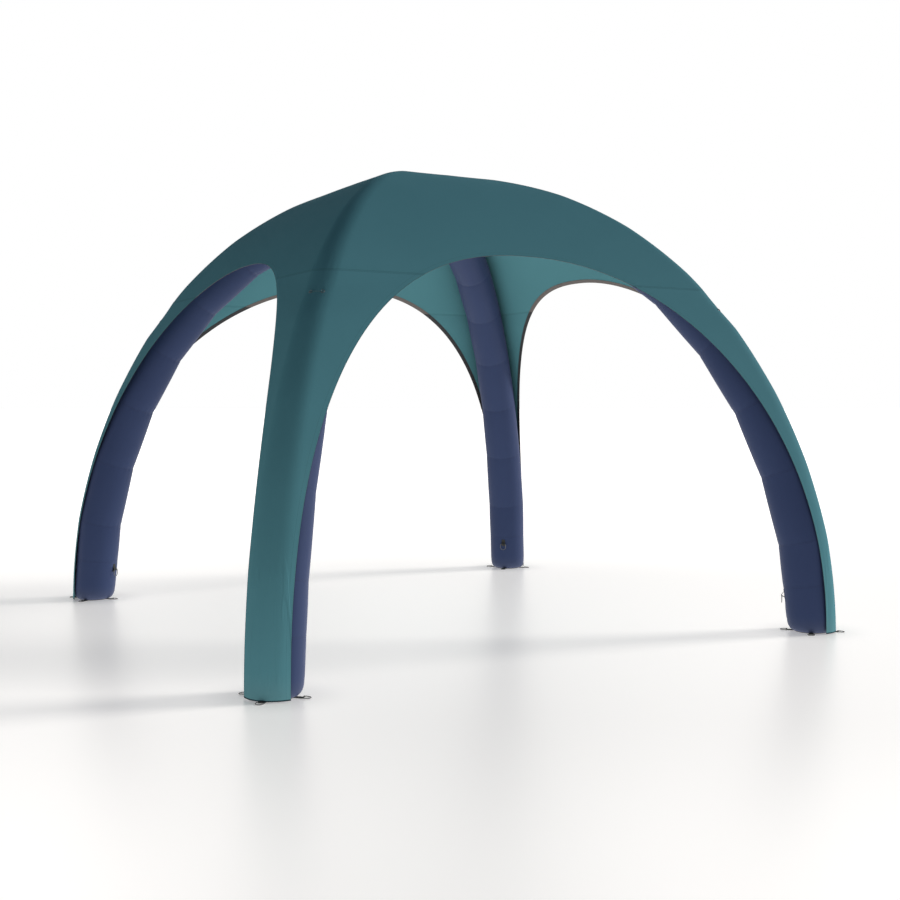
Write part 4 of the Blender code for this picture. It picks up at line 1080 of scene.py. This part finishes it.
def draw_tube(work, segments, radius, base, gap, cloth, with_valve=False):
    """Extrude a circle into a plain tube, bend it onto the leg and lay out its UV maps."""
    levels = tube_levels(base, FINE_STEPS if cloth else COARSE_STEPS)
    ring, edges = circle(work, 1.0, segments)
    for _ in range(len(levels) + MITRE_STEPS - 1):
        verts, edges = extrude_ring(work, edges)
        bmesh.ops.translate(work, verts=verts, vec=AXIS_Z)
    flat = work.loops.layers.uv.new("metres")
    seam = work.loops.layers.uv.new("seam")
    known = {}
    for vertex in work.verts:
        angle = math.atan2(vertex.co.y, vertex.co.x)
        place, metres = tube_place(levels, round(vertex.co.z), angle, radius, gap, cloth,
                                   with_valve)
        off = min(abs(metres - other) for other in TUBE_SEAMS)
        known[vertex] = (angle, metres, min(off, 0.03))
        vertex.co = place
    for face in work.faces:
        turned = [known[loop.vert][0] for loop in face.loops]
        wraps = max(turned) - min(turned) > math.pi
        for loop, angle in zip(face.loops, turned):
            if wraps and angle < 0.0:
                angle += FULL_TURN
            loop[flat].uv = (angle * radius, known[loop.vert][1])
            loop[seam].uv = (angle * radius, known[loop.vert][2])
    return ring


def close_foot(work, ring):
    """Close the flat bottom with a disc whose rim is inset, so that it bends smoothly."""
    bottom = bmesh.ops.contextual_create(work, geom=ring)["faces"]
    bmesh.ops.inset_region(work, faces=bottom, thickness=0.012, use_even_offset=True)
    bmesh.ops.recalc_face_normals(work, faces=work.faces)


print("tube helpers ready")

# %% [markdown]
# The two valves need round holes in the sleeve and the bladder. A boolean could cut them, but it
# would leave a ragged fan of faces. Here a hole's outline is cut into the cloth's own faces by
# one plane for each of its sides, and the faces inside it are deleted.

# %% holes for the valves
VALVE_LEG = "front_left"
VALVE_SPACING = 0.060
HOLE_SIDES = 16
INNER_UP = Vector((-0.114742, 0.0, 0.993396))
INNER_NORMAL = Vector((-0.993396, 0.0, -0.114742))


def valve_axis():
    """Return the valve's place, the way it faces and the way up the leg's inner face."""
    origin, normal = joint_of("valve_cap")
    return origin, normal, leg_turn(VALVE_LEG, 3) @ INNER_UP


def cut_valve_holes(work, valve_radius, relief_radius):
    """Cut the round holes that the two valves need, around their axes."""
    origin, normal, up = valve_axis()
    holes = ((origin, valve_radius), (origin - up * VALVE_SPACING, relief_radius))
    for centre, radius in holes:
        near = [face for face in work.faces if (face.calc_center_median() - centre).length < 0.06]
        for k in range(HOLE_SIDES):
            way = Matrix.Rotation(FULL_TURN * k / HOLE_SIDES, 3, normal) @ up
            geom = list({item for face in near for item in (face, *face.edges, *face.verts)})
            cut = bmesh.ops.bisect_plane(work, geom=geom, dist=0.0000001,
                                         plane_co=centre + way * radius, plane_no=way)
            near = [item for item in cut["geom"] if isinstance(item, bmesh.types.BMFace)]
        inside = [face for face in near if all(
            (vertex.co - centre).cross(normal).length < radius * 1.04 for vertex in face.verts)]
        bmesh.ops.delete(work, geom=inside, context="FACES")


print("valves face", [round(v, 3) for v in valve_axis()[1]])

# %% the four sleeves
SLEEVE_SEGMENTS = 72
SLEEVE_CLOTH = 0.0009
SLEEVE_GAP = 0.0002
for leg in LEG_TURNS:
    work = bmesh.new()
    foot = draw_tube(work, SLEEVE_SEGMENTS, TUBE_RADIUS, BASE_HEIGHT, SLEEVE_GAP, True,
                     leg == VALVE_LEG)
    close_foot(work, foot)
    bmesh.ops.rotate(work, verts=work.verts, matrix=leg_turn(leg, 3))
    if leg == VALVE_LEG:
        cut_valve_holes(work, 0.0138, 0.0088)
    sleeve = make_piece("sleeve_" + leg, work, SLEEVE_FABRIC, sharp=60.0)
    add_wall(sleeve, SLEEVE_CLOTH)
    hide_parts("tube_sleeve_" + leg)

# %% [markdown]
# ## The bladder
# Inside the sleeves lies the part that holds the air, one smooth film through all four legs. It
# can't be seen, so it is a plainer tube, drawn once, spun to the four corners and welded.

# %% the bladder
BLADDER_RADIUS = 0.1322
BLADDER_BASE = 0.0058
BLADDER_SEGMENTS = 32
FILM = 0.0006
work = bmesh.new()
foot = draw_tube(work, BLADDER_SEGMENTS, BLADDER_RADIUS, BLADDER_BASE, 0.0, False)
close_foot(work, foot)
spin_to_corners(work)
cut_valve_holes(work, 0.0213, 0.0133)
bladder = make_piece("bladder", work, BLADDER_FILM, sharp=60.0)
add_wall(bladder, FILM)
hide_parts("air_bladder")
print("bladder faces", len(bladder.data.polygons))

# %% [markdown]
# ## Wire rings
# Each ring is bent from one steel wire into a D: a straight bar, which turns in the webbing, and
# a bow. A torus would have no bar, so a small circle is extruded along the bent path and welded
# to its own start. A ring takes its place from its joint, so that it turns about its own bar.

# %% the path of a ring
WIRE_SIDES = 10
RING_SIZES = {
    "ground": (0.005, 0.0215, 0.005, 0.042),
    "inner": (0.005, 0.0235, 0.007, 0.050),
    "upper": (0.0026, 0.0083, 0.0028, 0.019),
}


def arc(centre, radius, start, end, steps):
    """Return the points of an arc, its ends included."""
    turns = [start + (end - start) * k / steps for k in range(steps + 1)]
    return [(centre[0] + radius * math.cos(turn), centre[1] + radius * math.sin(turn))
            for turn in turns]


def ring_path(wire, half, corner, reach):
    """Return a D ring's middle line: its bar on local Y, its bow towards local +X."""
    middle = reach - 0.5 * wire - half
    bend = half - corner
    path = [(0.0, 0.0)] + arc((corner, bend), corner, math.pi, QUARTER_TURN, 3)
    path += arc((middle, 0.0), half, QUARTER_TURN, -QUARTER_TURN, 16)
    return path + arc((corner, -bend), corner, -QUARTER_TURN, -math.pi, 3)


def frame_from(origin, x_axis, y_axis):
    """Return the frame with this origin and these two axes."""
    turn = Matrix((x_axis, y_axis, x_axis.cross(y_axis))).transposed().to_4x4()
    return Matrix.Translation(origin) @ turn


def path_frame(path, k):
    """Return the mitred frame of a closed flat path's point, with its Z along the path."""
    before, here, after = (Vector((*path[(k + step) % len(path)], 0.0)) for step in (-1, 0, 1))
    first, second = (here - before).normalized(), (after - here).normalized()
    way = (first + second).normalized()
    across = way.cross(AXIS_Z) / max(0.5, way.dot(second))
    turn = Matrix((across, AXIS_Z, way)).transposed().to_4x4()
    return Matrix.Translation(here) @ turn


print("points round a ring", len(ring_path(*RING_SIZES["ground"])))

# %% bend the wire and hang each ring on its joint


def sweep_wire(work, path, wire):
    """Extrude a circle along a closed flat path and weld its end to its start."""
    verts, edges = circle(work, 0.5 * wire, WIRE_SIDES)
    last = path_frame(path, 0)
    bmesh.ops.transform(work, matrix=last, verts=verts)
    for k in range(1, len(path) + 1):
        verts, edges = extrude_ring(work, edges)
        here = path_frame(path, k)
        bmesh.ops.transform(work, matrix=here @ last.inverted(), verts=verts)
        last = here
    bmesh.ops.remove_doubles(work, verts=work.verts, dist=0.00002)
    bmesh.ops.recalc_face_normals(work, faces=work.faces)


def ring_frame(name):
    """Return a ring's frame: origin on its bar, X the way it points, Y along the bar."""
    origin, side = joint_of(name)
    corners = frame["nodes"][name].data.vertices
    reach = sum((vertex.co for vertex in corners), Vector()) / len(corners) - origin
    reach = (reach - side * reach.dot(side)).normalized()
    return frame_from(origin, reach, side)


rings = [name for name in frame["nodes"] if "_ring_" in name]
for name in rings:
    size = RING_SIZES[name.split("_")[0]]
    work = bmesh.new()
    sweep_wire(work, ring_path(*size), size[0])
    bmesh.ops.transform(work, matrix=ring_frame(name), verts=work.verts)
    ring = make_piece("wire_" + name, work, RING_STEEL, name, 60.0)
    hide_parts(name)
print("rings", len(rings), "faces each", len(ring.data.polygons))

# %% [markdown]
# ## Webbing
# All webbing is a strip laid along its own side path: out, round a ring's bar and back. The
# strip is a flat grid moved on to that path, which keeps a map in metres for the weave, and it
# gets its thickness afterwards. Stitches are small rounded dashes of thread, modelled here,
# because a box stitch stands up from the webbing and is a shade lighter.

# %% webbing and stitch helpers
STITCH_STEP = 0.0042
STITCH_SHAPE = (0.0015, 0.00032, 0.00022)
THREAD_SHADES = (0.035, 0.037, 0.036), (0.060, 0.062, 0.060)


def strap(work, path, width, place):
    """Lay a strip of webbing along a path in a frame's X and Z, its width along Y."""
    runs = running_sum([math.dist(first, second) for first, second in zip(path, path[1:])])

    def point(row, k):
        across = (row / 4.0 - 0.5) * width
        return place @ Vector((path[k][0], across, path[k][1])), (runs[k], across)

    bend_grid(work, len(path) - 1, 4, point, "metres")


def soft_corner(before, corner, after, size, steps=4):
    """Return a corner of a path, rounded over a small length."""
    first = np.array(before) - corner
    second = np.array(after) - corner
    start = corner + first / np.linalg.norm(first) * size
    end = corner + second / np.linalg.norm(second) * size
    shares = np.linspace(0.0, 1.0, steps + 1)
    return [tuple((1 - s) ** 2 * start + 2 * s * (1 - s) * np.array(corner) + s * s * end)
            for s in shares]


def stitch_line(work, start, end, place, up, size=1.0):
    """Sew dashes of thread between two points of a frame's plane."""
    start, end = Vector(start), Vector(end)
    length = (end - start).length
    count = max(1, round(length / (STITCH_STEP * size)))
    way = (end - start).normalized()
    turn = Matrix((way, up.cross(way), up)).transposed().to_4x4()
    long, wide, high = STITCH_SHAPE
    shape = Matrix.Diagonal((long * size, wide * size, high, 1.0))
    for k in range(count):
        middle = Matrix.Translation(start + way * (length * (k + 0.5) / count))
        dash = bmesh.ops.create_icosphere(work, subdivisions=1, radius=1.0)["verts"]
        bmesh.ops.transform(work, matrix=place @ middle @ turn @ shape, verts=dash)


def box_stitch(work, low, high, depth, place, axes, size=1.0):
    """Sew a box with a cross in it; axes names the frame's two directions of the box."""
    first, second, up = axes
    places = ((low[0], low[1]), (high[0], low[1]), (high[0], high[1]), (low[0], high[1]))
    corners = [first * x + second * y + up * depth for x, y in places]
    for start, end in ((0, 1), (1, 2), (2, 3), (3, 0), (0, 2), (1, 3)):
        stitch_line(work, corners[start], corners[end], place, up, size)


def thread_finish():
    """Return black thread whose twist shows as fine changes of tone."""
    finish = Finish("thread", (0.045, 0.047, 0.046), 0.6, sheen=0.2)
    twist = finish.noise(finish.place()[0], 1500.0, 1.0)
    finish.set("Base Color", finish.mix(twist, *THREAD_SHADES))
    return finish.material


THREAD = thread_finish()
print("webbing helpers ready")

# %% [markdown]
# Each foot stands on a round double pad, and four straps run out from under it, each doubled
# round the bar of a ground ring and box stitched.

# %% the foot pads and their straps
PAD_RADIUS, PAD_SEGMENTS = 0.106, 48
PLY = 0.0014
PLY_HEIGHTS = (0.00075, 0.00225)
STRAP_START = 0.1068
STRAP_WIDTH = 0.030
GROUND_BAR_HEIGHT = 0.0043
GROUND_SIDES = {"outer": 0.0, "right": 90.0, "inner": 180.0, "left": 270.0}


def ground_strap_path(distance):
    """Return the path of a ground strap: out below, round the bar and back on top."""
    below, above = PLY_HEIGHTS
    radius = GROUND_BAR_HEIGHT - below
    dip = math.asin((GROUND_BAR_HEIGHT - above) / radius)
    out = [(STRAP_START + (distance - STRAP_START) * k / 4.0, below) for k in range(4)]
    loop = arc((distance, GROUND_BAR_HEIGHT), radius, -QUARTER_TURN, math.pi + dip, 12)
    return out + loop + [(distance - 0.0075, above), (0.125, above), (STRAP_START, above)]


for leg in LEG_TURNS:
    place = leg_turn(leg) @ Matrix.Translation((FOOT_DISTANCE, 0.0, 0.0))
    work = bmesh.new()
    thread = bmesh.new()
    flat = work.loops.layers.uv.new("metres")
    for height in PLY_HEIGHTS:
        disc = bmesh.ops.create_circle(work, cap_ends=True, radius=PAD_RADIUS,
                                       segments=PAD_SEGMENTS)["verts"]
        for loop in disc[0].link_faces[0].loops:
            loop[flat].uv = loop.vert.co.xy
        level = place @ Matrix.Translation((0.0, 0.0, height))
        bmesh.ops.transform(work, matrix=level, verts=disc)
    for side, turn in GROUND_SIDES.items():
        bar = joint_of("ground_ring_%s_%s" % (leg, side))[0]
        distance = (bar - place.translation).xy.length
        facing = place @ Matrix.Rotation(math.radians(turn), 4, "Z")
        strap(work, ground_strap_path(distance), STRAP_WIDTH, facing)
        box_stitch(thread, (0.113, -0.011), (distance - 0.010, 0.011), 0.0030, facing,
                   (AXIS_X, AXIS_Y, AXIS_Z), 0.8)
    pad = make_piece("foot_webbing_" + leg, work, WEBBING, sharp=50.0)
    add_wall(pad, PLY, 0.0)
    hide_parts("foot_pad_" + leg)
    make_piece("foot_stitches_" + leg, thread, THREAD)
print("foot pads", len(LEG_TURNS), "straps", len(GROUND_SIDES) * len(LEG_TURNS))

# %% [markdown]
# Low on the inner face of each leg a webbing patch holds a larger ring: its strap leaves the
# patch, passes round the ring's bar and comes back below, so from the side it is a triangle.

# %% the inner tabs
INNER_STANDOFF = 0.017
INNER_LOOP_RADIUS = 0.0037
INNER_STRAP_DEPTH = 0.0021
INNER_STITCH_DEPTH = 0.0028
TAB_PLY = 0.0012


def inner_strap_path():
    """Return the side path of the strap that stands off the patch."""
    centre, radius, flat = np.array([INNER_STANDOFF, 0.0]), INNER_LOOP_RADIUS, INNER_STRAP_DEPTH
    upper, lower = np.array([flat, 0.0225]), np.array([flat, -0.0112])
    first = math.atan2(upper[1], upper[0] - centre[0])
    first -= math.acos(radius / np.linalg.norm(upper - centre))
    last = math.atan2(lower[1], lower[0] - centre[0])
    last += math.acos(radius / np.linalg.norm(lower - centre))
    loop = arc(centre, radius, first, last, 12)
    path = [(flat, 0.0385), (flat, 0.031)] + soft_corner((flat, 0.03), upper, loop[0], 0.003)
    path += loop + soft_corner(loop[-1], lower, (flat, -0.02), 0.002)
    return path + [(flat, -0.0172)]


for leg in LEG_TURNS:
    turn = leg_turn(leg, 3)
    normal, up = turn @ INNER_NORMAL, turn @ INNER_UP
    origin = joint_of("inner_ring_" + leg)[0] - normal * INNER_STANDOFF
    place = frame_from(origin, normal, up.cross(normal))
    work = bmesh.new()
    thread = bmesh.new()
    strap(work, [(0.0009, -0.018 + 0.058 * k / 6.0) for k in range(7)], 0.030, place)
    strap(work, inner_strap_path(), 0.029, place)
    box_stitch(thread, (0.0245, -0.0115), (0.0370, 0.0115), INNER_STITCH_DEPTH, place,
               (AXIS_Z, AXIS_Y, AXIS_X), 0.8)
    row = [(INNER_STITCH_DEPTH, side, -0.0155) for side in (-0.0115, 0.0115)]
    stitch_line(thread, *row, place, AXIS_X, 0.8)
    tab = make_piece("tab_webbing_" + leg, work, WEBBING, sharp=50.0)
    add_wall(tab, TAB_PLY, 0.0)
    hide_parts("inner_tab_" + leg)
    make_piece("tab_stitches_" + leg, thread, THREAD)
print("inner tabs", len(LEG_TURNS))

# %% [markdown]
# High on the ridge of each leg cover a narrow strip in the canopy's colour lies across the ridge
# and holds a small ring at each end.

# %% the upper patches
PATCH_LEAN = 0.1084
PATCH_BAR = (0.027, 0.0031)
PATCH_WIDTH = 0.010
PATCH_BELOW, PATCH_ABOVE = 0.00075, 0.00125
PATCH_PLY = 0.00045


def lean(point):
    """Turn a point down by the slope of the cover's flank."""
    return (point[0] * math.cos(PATCH_LEAN) + point[1] * math.sin(PATCH_LEAN),
            -point[0] * math.sin(PATCH_LEAN) + point[1] * math.cos(PATCH_LEAN))


def patch_path():
    """Return the path across the ridge: doubled round the bar at each end."""
    radius = PATCH_BAR[1] - PATCH_BELOW
    dip = math.asin((PATCH_BAR[1] - PATCH_ABOVE) / radius)
    half = [(PATCH_BAR[0] * k / 4.0, PATCH_BELOW) for k in range(1, 4)]
    half += arc(PATCH_BAR, radius, -QUARTER_TURN, math.pi + dip, 12)
    half += [(out, PATCH_ABOVE) for out in (0.0215, 0.013, 0.005)]
    half = [lean(point) for point in half]
    return [(-x, y) for x, y in reversed(half)] + [(0.0, 0.00078)] + half


for leg in LEG_TURNS:
    right, axis = joint_of("upper_ring_%s_right" % leg)
    left = joint_of("upper_ring_%s_left" % leg)[0]
    side = (right - left).normalized()
    normal = side.cross(axis).normalized()
    normal = normal if normal.z > 0.0 else -normal
    origin = 0.5 * (right + left) - normal * lean(PATCH_BAR)[1]
    place = frame_from(origin, side, normal.cross(side))
    work = bmesh.new()
    thread = bmesh.new()
    strap(work, patch_path(), PATCH_WIDTH, place)
    for way in (-1.0, 1.0):
        slope = Matrix.Rotation(way * PATCH_LEAN, 4, "Y")
        box_stitch(thread, (way * 0.0075, -0.0036), (way * 0.0200, 0.0036), 0.0016,
                   place @ slope, (AXIS_X, AXIS_Y, AXIS_Z), 0.6)
    patch = make_piece("patch_webbing_" + leg, work, TEAL_TAPE, sharp=50.0)
    add_wall(patch, PATCH_PLY, 0.0)
    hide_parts("upper_patch_" + leg)
    make_piece("patch_stitches_" + leg, thread, TEAL_TAPE)
print("upper patches", len(LEG_TURNS))

# %% [markdown]
# ## The valves
# The inflation valve is moulded in black plastic: a flange on the cloth, a threaded collar, a
# spring plunger guided by three spokes, and a ribbed cap. Each is a turned profile spun round
# the valve's axis. The overpressure valve below it is one turned body under a smooth dome.

# %% turned pieces


def turn_profile(work, profile, steps=48, closed=True):
    """Spin a profile of (radius, height) points fully round local Z."""
    verts = [work.verts.new((radius, 0.0, height)) for radius, height in profile]
    pairs = list(zip(verts, verts[1:])) + ([(verts[-1], verts[0])] if closed else [])
    edges = [work.edges.new(pair) for pair in pairs]
    bmesh.ops.spin(work, geom=verts + edges, axis=AXIS_Z, cent=(0.0, 0.0, 0.0),
                   angle=FULL_TURN, steps=steps, use_merge=True)
    bmesh.ops.remove_doubles(work, verts=work.verts, dist=0.00001)
    bmesh.ops.dissolve_degenerate(work, edges=work.edges, dist=0.000002)
    bmesh.ops.recalc_face_normals(work, faces=work.faces)


def valve_piece(name, node, body, below, draw):
    """Draw a valve part in its own frame and put it on the leg's inner face."""
    work = bmesh.new()
    draw(work)
    origin, normal, up = valve_axis()
    place = frame_from(origin - up * below, up.cross(normal), up)
    bmesh.ops.transform(work, matrix=place, verts=work.verts)
    piece = make_piece(name, work, VALVE_PLASTIC, body, 35.0)
    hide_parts(node)
    print("made", name)


# %% the inflation valve's body
FLANGE_TOP, COLLAR_TOP, NUT_TOP, NUT_BOTTOM = 0.0033, 0.0143, -0.0040, -0.0070
THREAD_TOP, THREAD_PITCH, THREADS = 0.0132, 0.0022, 4
SPOKES = 3


def draw_body(work):
    """Draw the flange, threaded collar, neck and nut, with the hub on its three spokes."""
    tops = [THREAD_TOP - THREAD_PITCH * k for k in range(THREADS)]
    threads = [(radius, top - down) for top in tops for radius, down in (
        (0.0155, 0.0), (0.0150, 0.0006), (0.0150, 0.0012), (0.0155, 0.0018))]
    turn_profile(work, [(0.0105, 0.0139), (0.0109, COLLAR_TOP), (0.0151, COLLAR_TOP)] + threads + [
        (0.0152, 0.0040), (0.0160, FLANGE_TOP), (0.0212, FLANGE_TOP), (0.0216, 0.0028),
        (0.0236, 0.0028), (0.0240, 0.0023), (0.0240, 0.0008), (0.0236, 0.0003), (0.0135, 0.0003),
        (0.0135, NUT_TOP), (0.0206, NUT_TOP), (0.0210, NUT_TOP - 0.0005),
        (0.0210, NUT_BOTTOM + 0.0005), (0.0206, NUT_BOTTOM), (0.0105, NUT_BOTTOM)])
    turn_profile(work, [(0.0025, 0.0033), (0.0047, 0.0033), (0.0050, 0.0030), (0.0050, 0.0006),
                        (0.0047, 0.0003), (0.0025, 0.0003)], 24)
    shift = Matrix.Translation((0.0077, 0.0, 0.0018))
    shape = shift @ Matrix.Diagonal((0.0062, 0.0022, 0.0018, 1.0))
    for k in range(SPOKES):
        spoke = bmesh.ops.create_cube(work, size=1.0)["verts"]
        turn = Matrix.Rotation(FULL_TURN * k / SPOKES, 4, "Z")
        bmesh.ops.transform(work, matrix=turn @ shape, verts=spoke)


valve_piece("inflation_valve_body", "valve_body", "tent", 0.0, draw_body)

# %% its plunger and its cap
CAP_RIBS = 8


def draw_plunger(work):
    """Draw the push button, the stem and the sealing plate."""
    turn_profile(work, [(0.0, 0.0099), (0.0040, 0.0099), (0.0046, 0.0094), (0.0046, 0.0082),
                        (0.0042, 0.0079), (0.0022, 0.0079), (0.0022, -0.0073), (0.0126, -0.0073),
                        (0.0130, -0.0077), (0.0130, -0.0089), (0.0126, -0.0093), (0.0, -0.0093)],
                 32, False)


def draw_cap(work):
    """Draw the cap that turns on the collar, with its ribs for the fingers."""
    inner, outer, under = 0.0161, 0.0186, COLLAR_TOP + 0.0003
    top, bottom = under + 0.0025, FLANGE_TOP + 0.0003
    turn_profile(work, [(0.0, top - 0.0004), (0.0110, top - 0.0004), (0.0116, top), (0.0168, top),
                        (0.0180, top - 0.0005), (outer, under), (outer, bottom + 0.0003),
                        (outer - 0.0003, bottom), (inner, bottom), (inner, under), (0.0, under)],
                 64, False)
    shift = Matrix.Translation((outer, 0.0, 0.5 * (under + bottom)))
    for k in range(CAP_RIBS):
        rib = bmesh.ops.create_cone(work, cap_ends=True, segments=12, radius1=0.0014,
                                    radius2=0.0011, depth=under - bottom - 0.0004)["verts"]
        turn = Matrix.Rotation(FULL_TURN * (k + 0.5) / CAP_RIBS, 4, "Z")
        bmesh.ops.transform(work, matrix=turn @ shift, verts=rib)


valve_piece("inflation_valve_plunger", "valve_plunger", "valve_plunger", 0.0, draw_plunger)
valve_piece("inflation_valve_cap", "valve_cap", "valve_cap", 0.0, draw_cap)

# %% the overpressure valve


def draw_relief(work):
    """Draw the overpressure valve: its dome, neck, flange and nut."""
    turn_profile(work, [(0.0, 0.0123), (0.0060, 0.0121), (0.0090, 0.0113), (0.0115, 0.0098),
                        (0.0125, 0.0083), (0.0125, 0.0064), (0.0121, 0.0060), (0.0094, 0.0060),
                        (0.0094, 0.0033), (0.0163, 0.0033), (0.0170, 0.0026), (0.0170, 0.0008),
                        (0.0166, 0.0003), (0.0085, 0.0003), (0.0085, NUT_TOP), (0.0130, NUT_TOP),
                        (0.0130, NUT_BOTTOM), (0.0, NUT_BOTTOM)], 40, False)


valve_piece("overpressure_valve", "relief_valve", "tent", VALVE_SPACING, draw_relief)

# %% [markdown]
# ## The floor
# The tent stands on a plain, very pale studio floor with a slight gloss, so that each leg has a
# faint blurred reflection. Away from the tent the floor runs out into white. Lamps bright enough
# for that would wash out the tent, so the finish adds emission by the place on the floor: a
# little that the camera sees, and more that lights the tent from below.

# %% the floor
FLOOR_WHITE = (0.80, 0.765, 0.715)
FLOOR_RADIUS = 400.0
VIEW_AWAY, VIEW_SIDE = (0.4914, 0.8709), (0.8709, -0.4914)
VIEW_DISTANCE = 8.765
FOOT_SQUARE = 1.8385
SEEN_TINT, LIGHT_TINT = (1.05, 1.01, 0.975), (1.0, 0.99, 0.94)


def floor_painted_shade(finish, x, y, depth, side):
    """Return where painted shade darkens the floor: left of the picture's middle, and round the
    feet.
    """
    across = finish.times(finish.step(depth, -2.9, -1.6), finish.step(depth, 2.4, 0.8))
    dim = finish.times(finish.step(side, -0.02, -0.18), across)
    off = [finish.math("SUBTRACT", finish.math("ABSOLUTE", part), FOOT_SQUARE) for part in (x, y)]
    off = finish.math("SQRT", finish.plus(*(finish.times(part, part) for part in off)))
    return finish.scaled(finish.step(off, 0.42, 0.08), 1.4, dim)


def floor_finish():
    """Return the floor's finish; depth and side run along the view and across it."""
    finish = Finish("studio_floor", FLOOR_WHITE, 0.34)
    finish.set("Specular IOR Level", 1.0)
    finish.set("IOR", 1.5)
    x, y = finish.place()[1:3]
    far = finish.math("SQRT", finish.plus(finish.times(x, x), finish.times(y, y)))
    depth, side = (finish.scaled(x, way[0], finish.times(y, way[1]))
                   for way in (VIEW_AWAY, VIEW_SIDE))
    reach = finish.math("MAXIMUM", finish.plus(depth, VIEW_DISTANCE), 3.0)
    side = finish.math("DIVIDE", finish.plus(side, -0.1), reach)
    # Painted shade: the floor seen by the camera is darker round each foot and left of the middle.
    dim = floor_painted_shade(finish, x, y, depth, side)
    # Painted light: the floor seen by the camera is brighter towards the picture's sides and
    # nearest the camera.
    side = finish.step(finish.math("ABSOLUTE", side), 0.03, 0.30)
    seen = finish.scaled(side, 0.08, finish.scaled(dim, -0.10, 0.36))
    seen = finish.scaled(finish.step(depth, 1.6, 6.5), 0.32, seen)
    seen = finish.scaled(finish.step(depth, -2.8, -5.2), 0.12, seen)
    glow = finish.scaled(finish.step(far, 2.5, 9.0), -0.97, 1.26)
    path = finish.nodes.new("ShaderNodeLightPath").outputs["Is Camera Ray"]
    other = finish.times(glow, finish.math("SUBTRACT", 1.0, path))
    finish.set("Emission Strength", finish.plus(finish.times(seen, path), other))
    finish.set("Emission Color", finish.mix(path, LIGHT_TINT, SEEN_TINT))
    return finish.material


work = bmesh.new()
bmesh.ops.create_circle(work, cap_ends=True, radius=FLOOR_RADIUS, segments=96)
floor_mesh = bpy.data.meshes.new("floor")
work.to_mesh(floor_mesh)
work.free()
floor_mesh.materials.append(floor_finish())
floor = bpy.data.objects.new("floor", floor_mesh)
bpy.context.scene.collection.objects.link(floor)
print("floor ready")

# %% [markdown]
# ## The light
# A dim soft sky that brightens towards the horizon leaves the roof darker than the legs, as in
# the photograph, and the pale floor lights the inside from below. One low broad light from the
# right of the picture draws the soft shadows to the left. A sun lamp is used, because it is as
# strong on the far legs as on the near ones.

# %% the sky
SKY_STRENGTHS = (0.62, 0.042)
SKY_COLOURS = (0.97, 1.0, 1.04), (0.60, 1.0, 1.60)
SKY_OVERHEAD = 0.60


def sky_level(nodes, links, up, low, high):
    """Return a number or colour that changes smoothly from the horizon to overhead."""
    colour = isinstance(low, tuple)
    level = nodes.new("ShaderNodeMapRange")
    level.interpolation_type = "SMOOTHSTEP"
    level.data_type = "FLOAT_VECTOR" if colour else "FLOAT"
    inputs = [item for item in level.inputs if item.enabled]
    links.new(up, inputs[0])
    start, end = ((0.0,) * 3, (SKY_OVERHEAD,) * 3) if colour else (0.0, SKY_OVERHEAD)
    for item, value in zip(inputs[1:], (start, end, low, high)):
        item.default_value = value
    return next(item for item in level.outputs if item.enabled)


def make_sky():
    """Give the world a sky that is dim overhead, and plain white where it is seen itself."""
    world = bpy.data.worlds.new("studio")
    bpy.context.scene.world = world
    world.use_nodes = True
    nodes, links = world.node_tree.nodes, world.node_tree.links
    split = nodes.new("ShaderNodeSeparateXYZ")
    links.new(nodes.new("ShaderNodeTexCoord").outputs["Generated"], split.inputs[0])
    sky = nodes["Background"]
    for socket, ends in (("Strength", SKY_STRENGTHS), ("Color", SKY_COLOURS)):
        links.new(sky_level(nodes, links, split.outputs["Z"], *ends), sky.inputs[socket])
    white = nodes.new("ShaderNodeBackground")
    white.inputs["Color"].default_value = (1.0, 1.0, 1.0, 1.0)
    path = nodes.new("ShaderNodeLightPath")
    plain = path.outputs["Is Camera Ray"]
    for ray in ("Is Glossy Ray", "Is Transmission Ray"):
        either = nodes.new("ShaderNodeMath")
        either.operation = "MAXIMUM"
        links.new(plain, either.inputs[0])
        links.new(path.outputs[ray], either.inputs[1])
        plain = either.outputs[0]
    mix = nodes.new("ShaderNodeMixShader")
    for socket, value in zip(mix.inputs, (plain, sky.outputs[0], white.outputs[0])):
        links.new(value, socket)
    links.new(mix.outputs[0], nodes["World Output"].inputs["Surface"])


make_sky()
print("sky ready")

# %% the key light
KEY_STRENGTH = 2.60
KEY_ELEVATION = math.radians(24.0)
KEY_BEHIND = math.radians(17.0)
KEY_SPREAD = math.radians(18.0)


def add_key():
    """Add the low broad light from the right of the picture, a little behind the tent."""
    right = CAMERA_FORWARD.cross(AXIS_Z).normalized()
    level = Matrix.Rotation(KEY_BEHIND, 3, "Z") @ right
    towards = level * math.cos(KEY_ELEVATION) + AXIS_Z * math.sin(KEY_ELEVATION)
    lamp = bpy.data.lights.new("key", "SUN")
    lamp.energy = KEY_STRENGTH
    lamp.angle = KEY_SPREAD
    key = bpy.data.objects.new("key", lamp)
    key.rotation_euler = towards.to_track_quat("Z", "Y").to_euler()
    bpy.context.scene.collection.objects.link(key)


add_key()
print("key light ready")
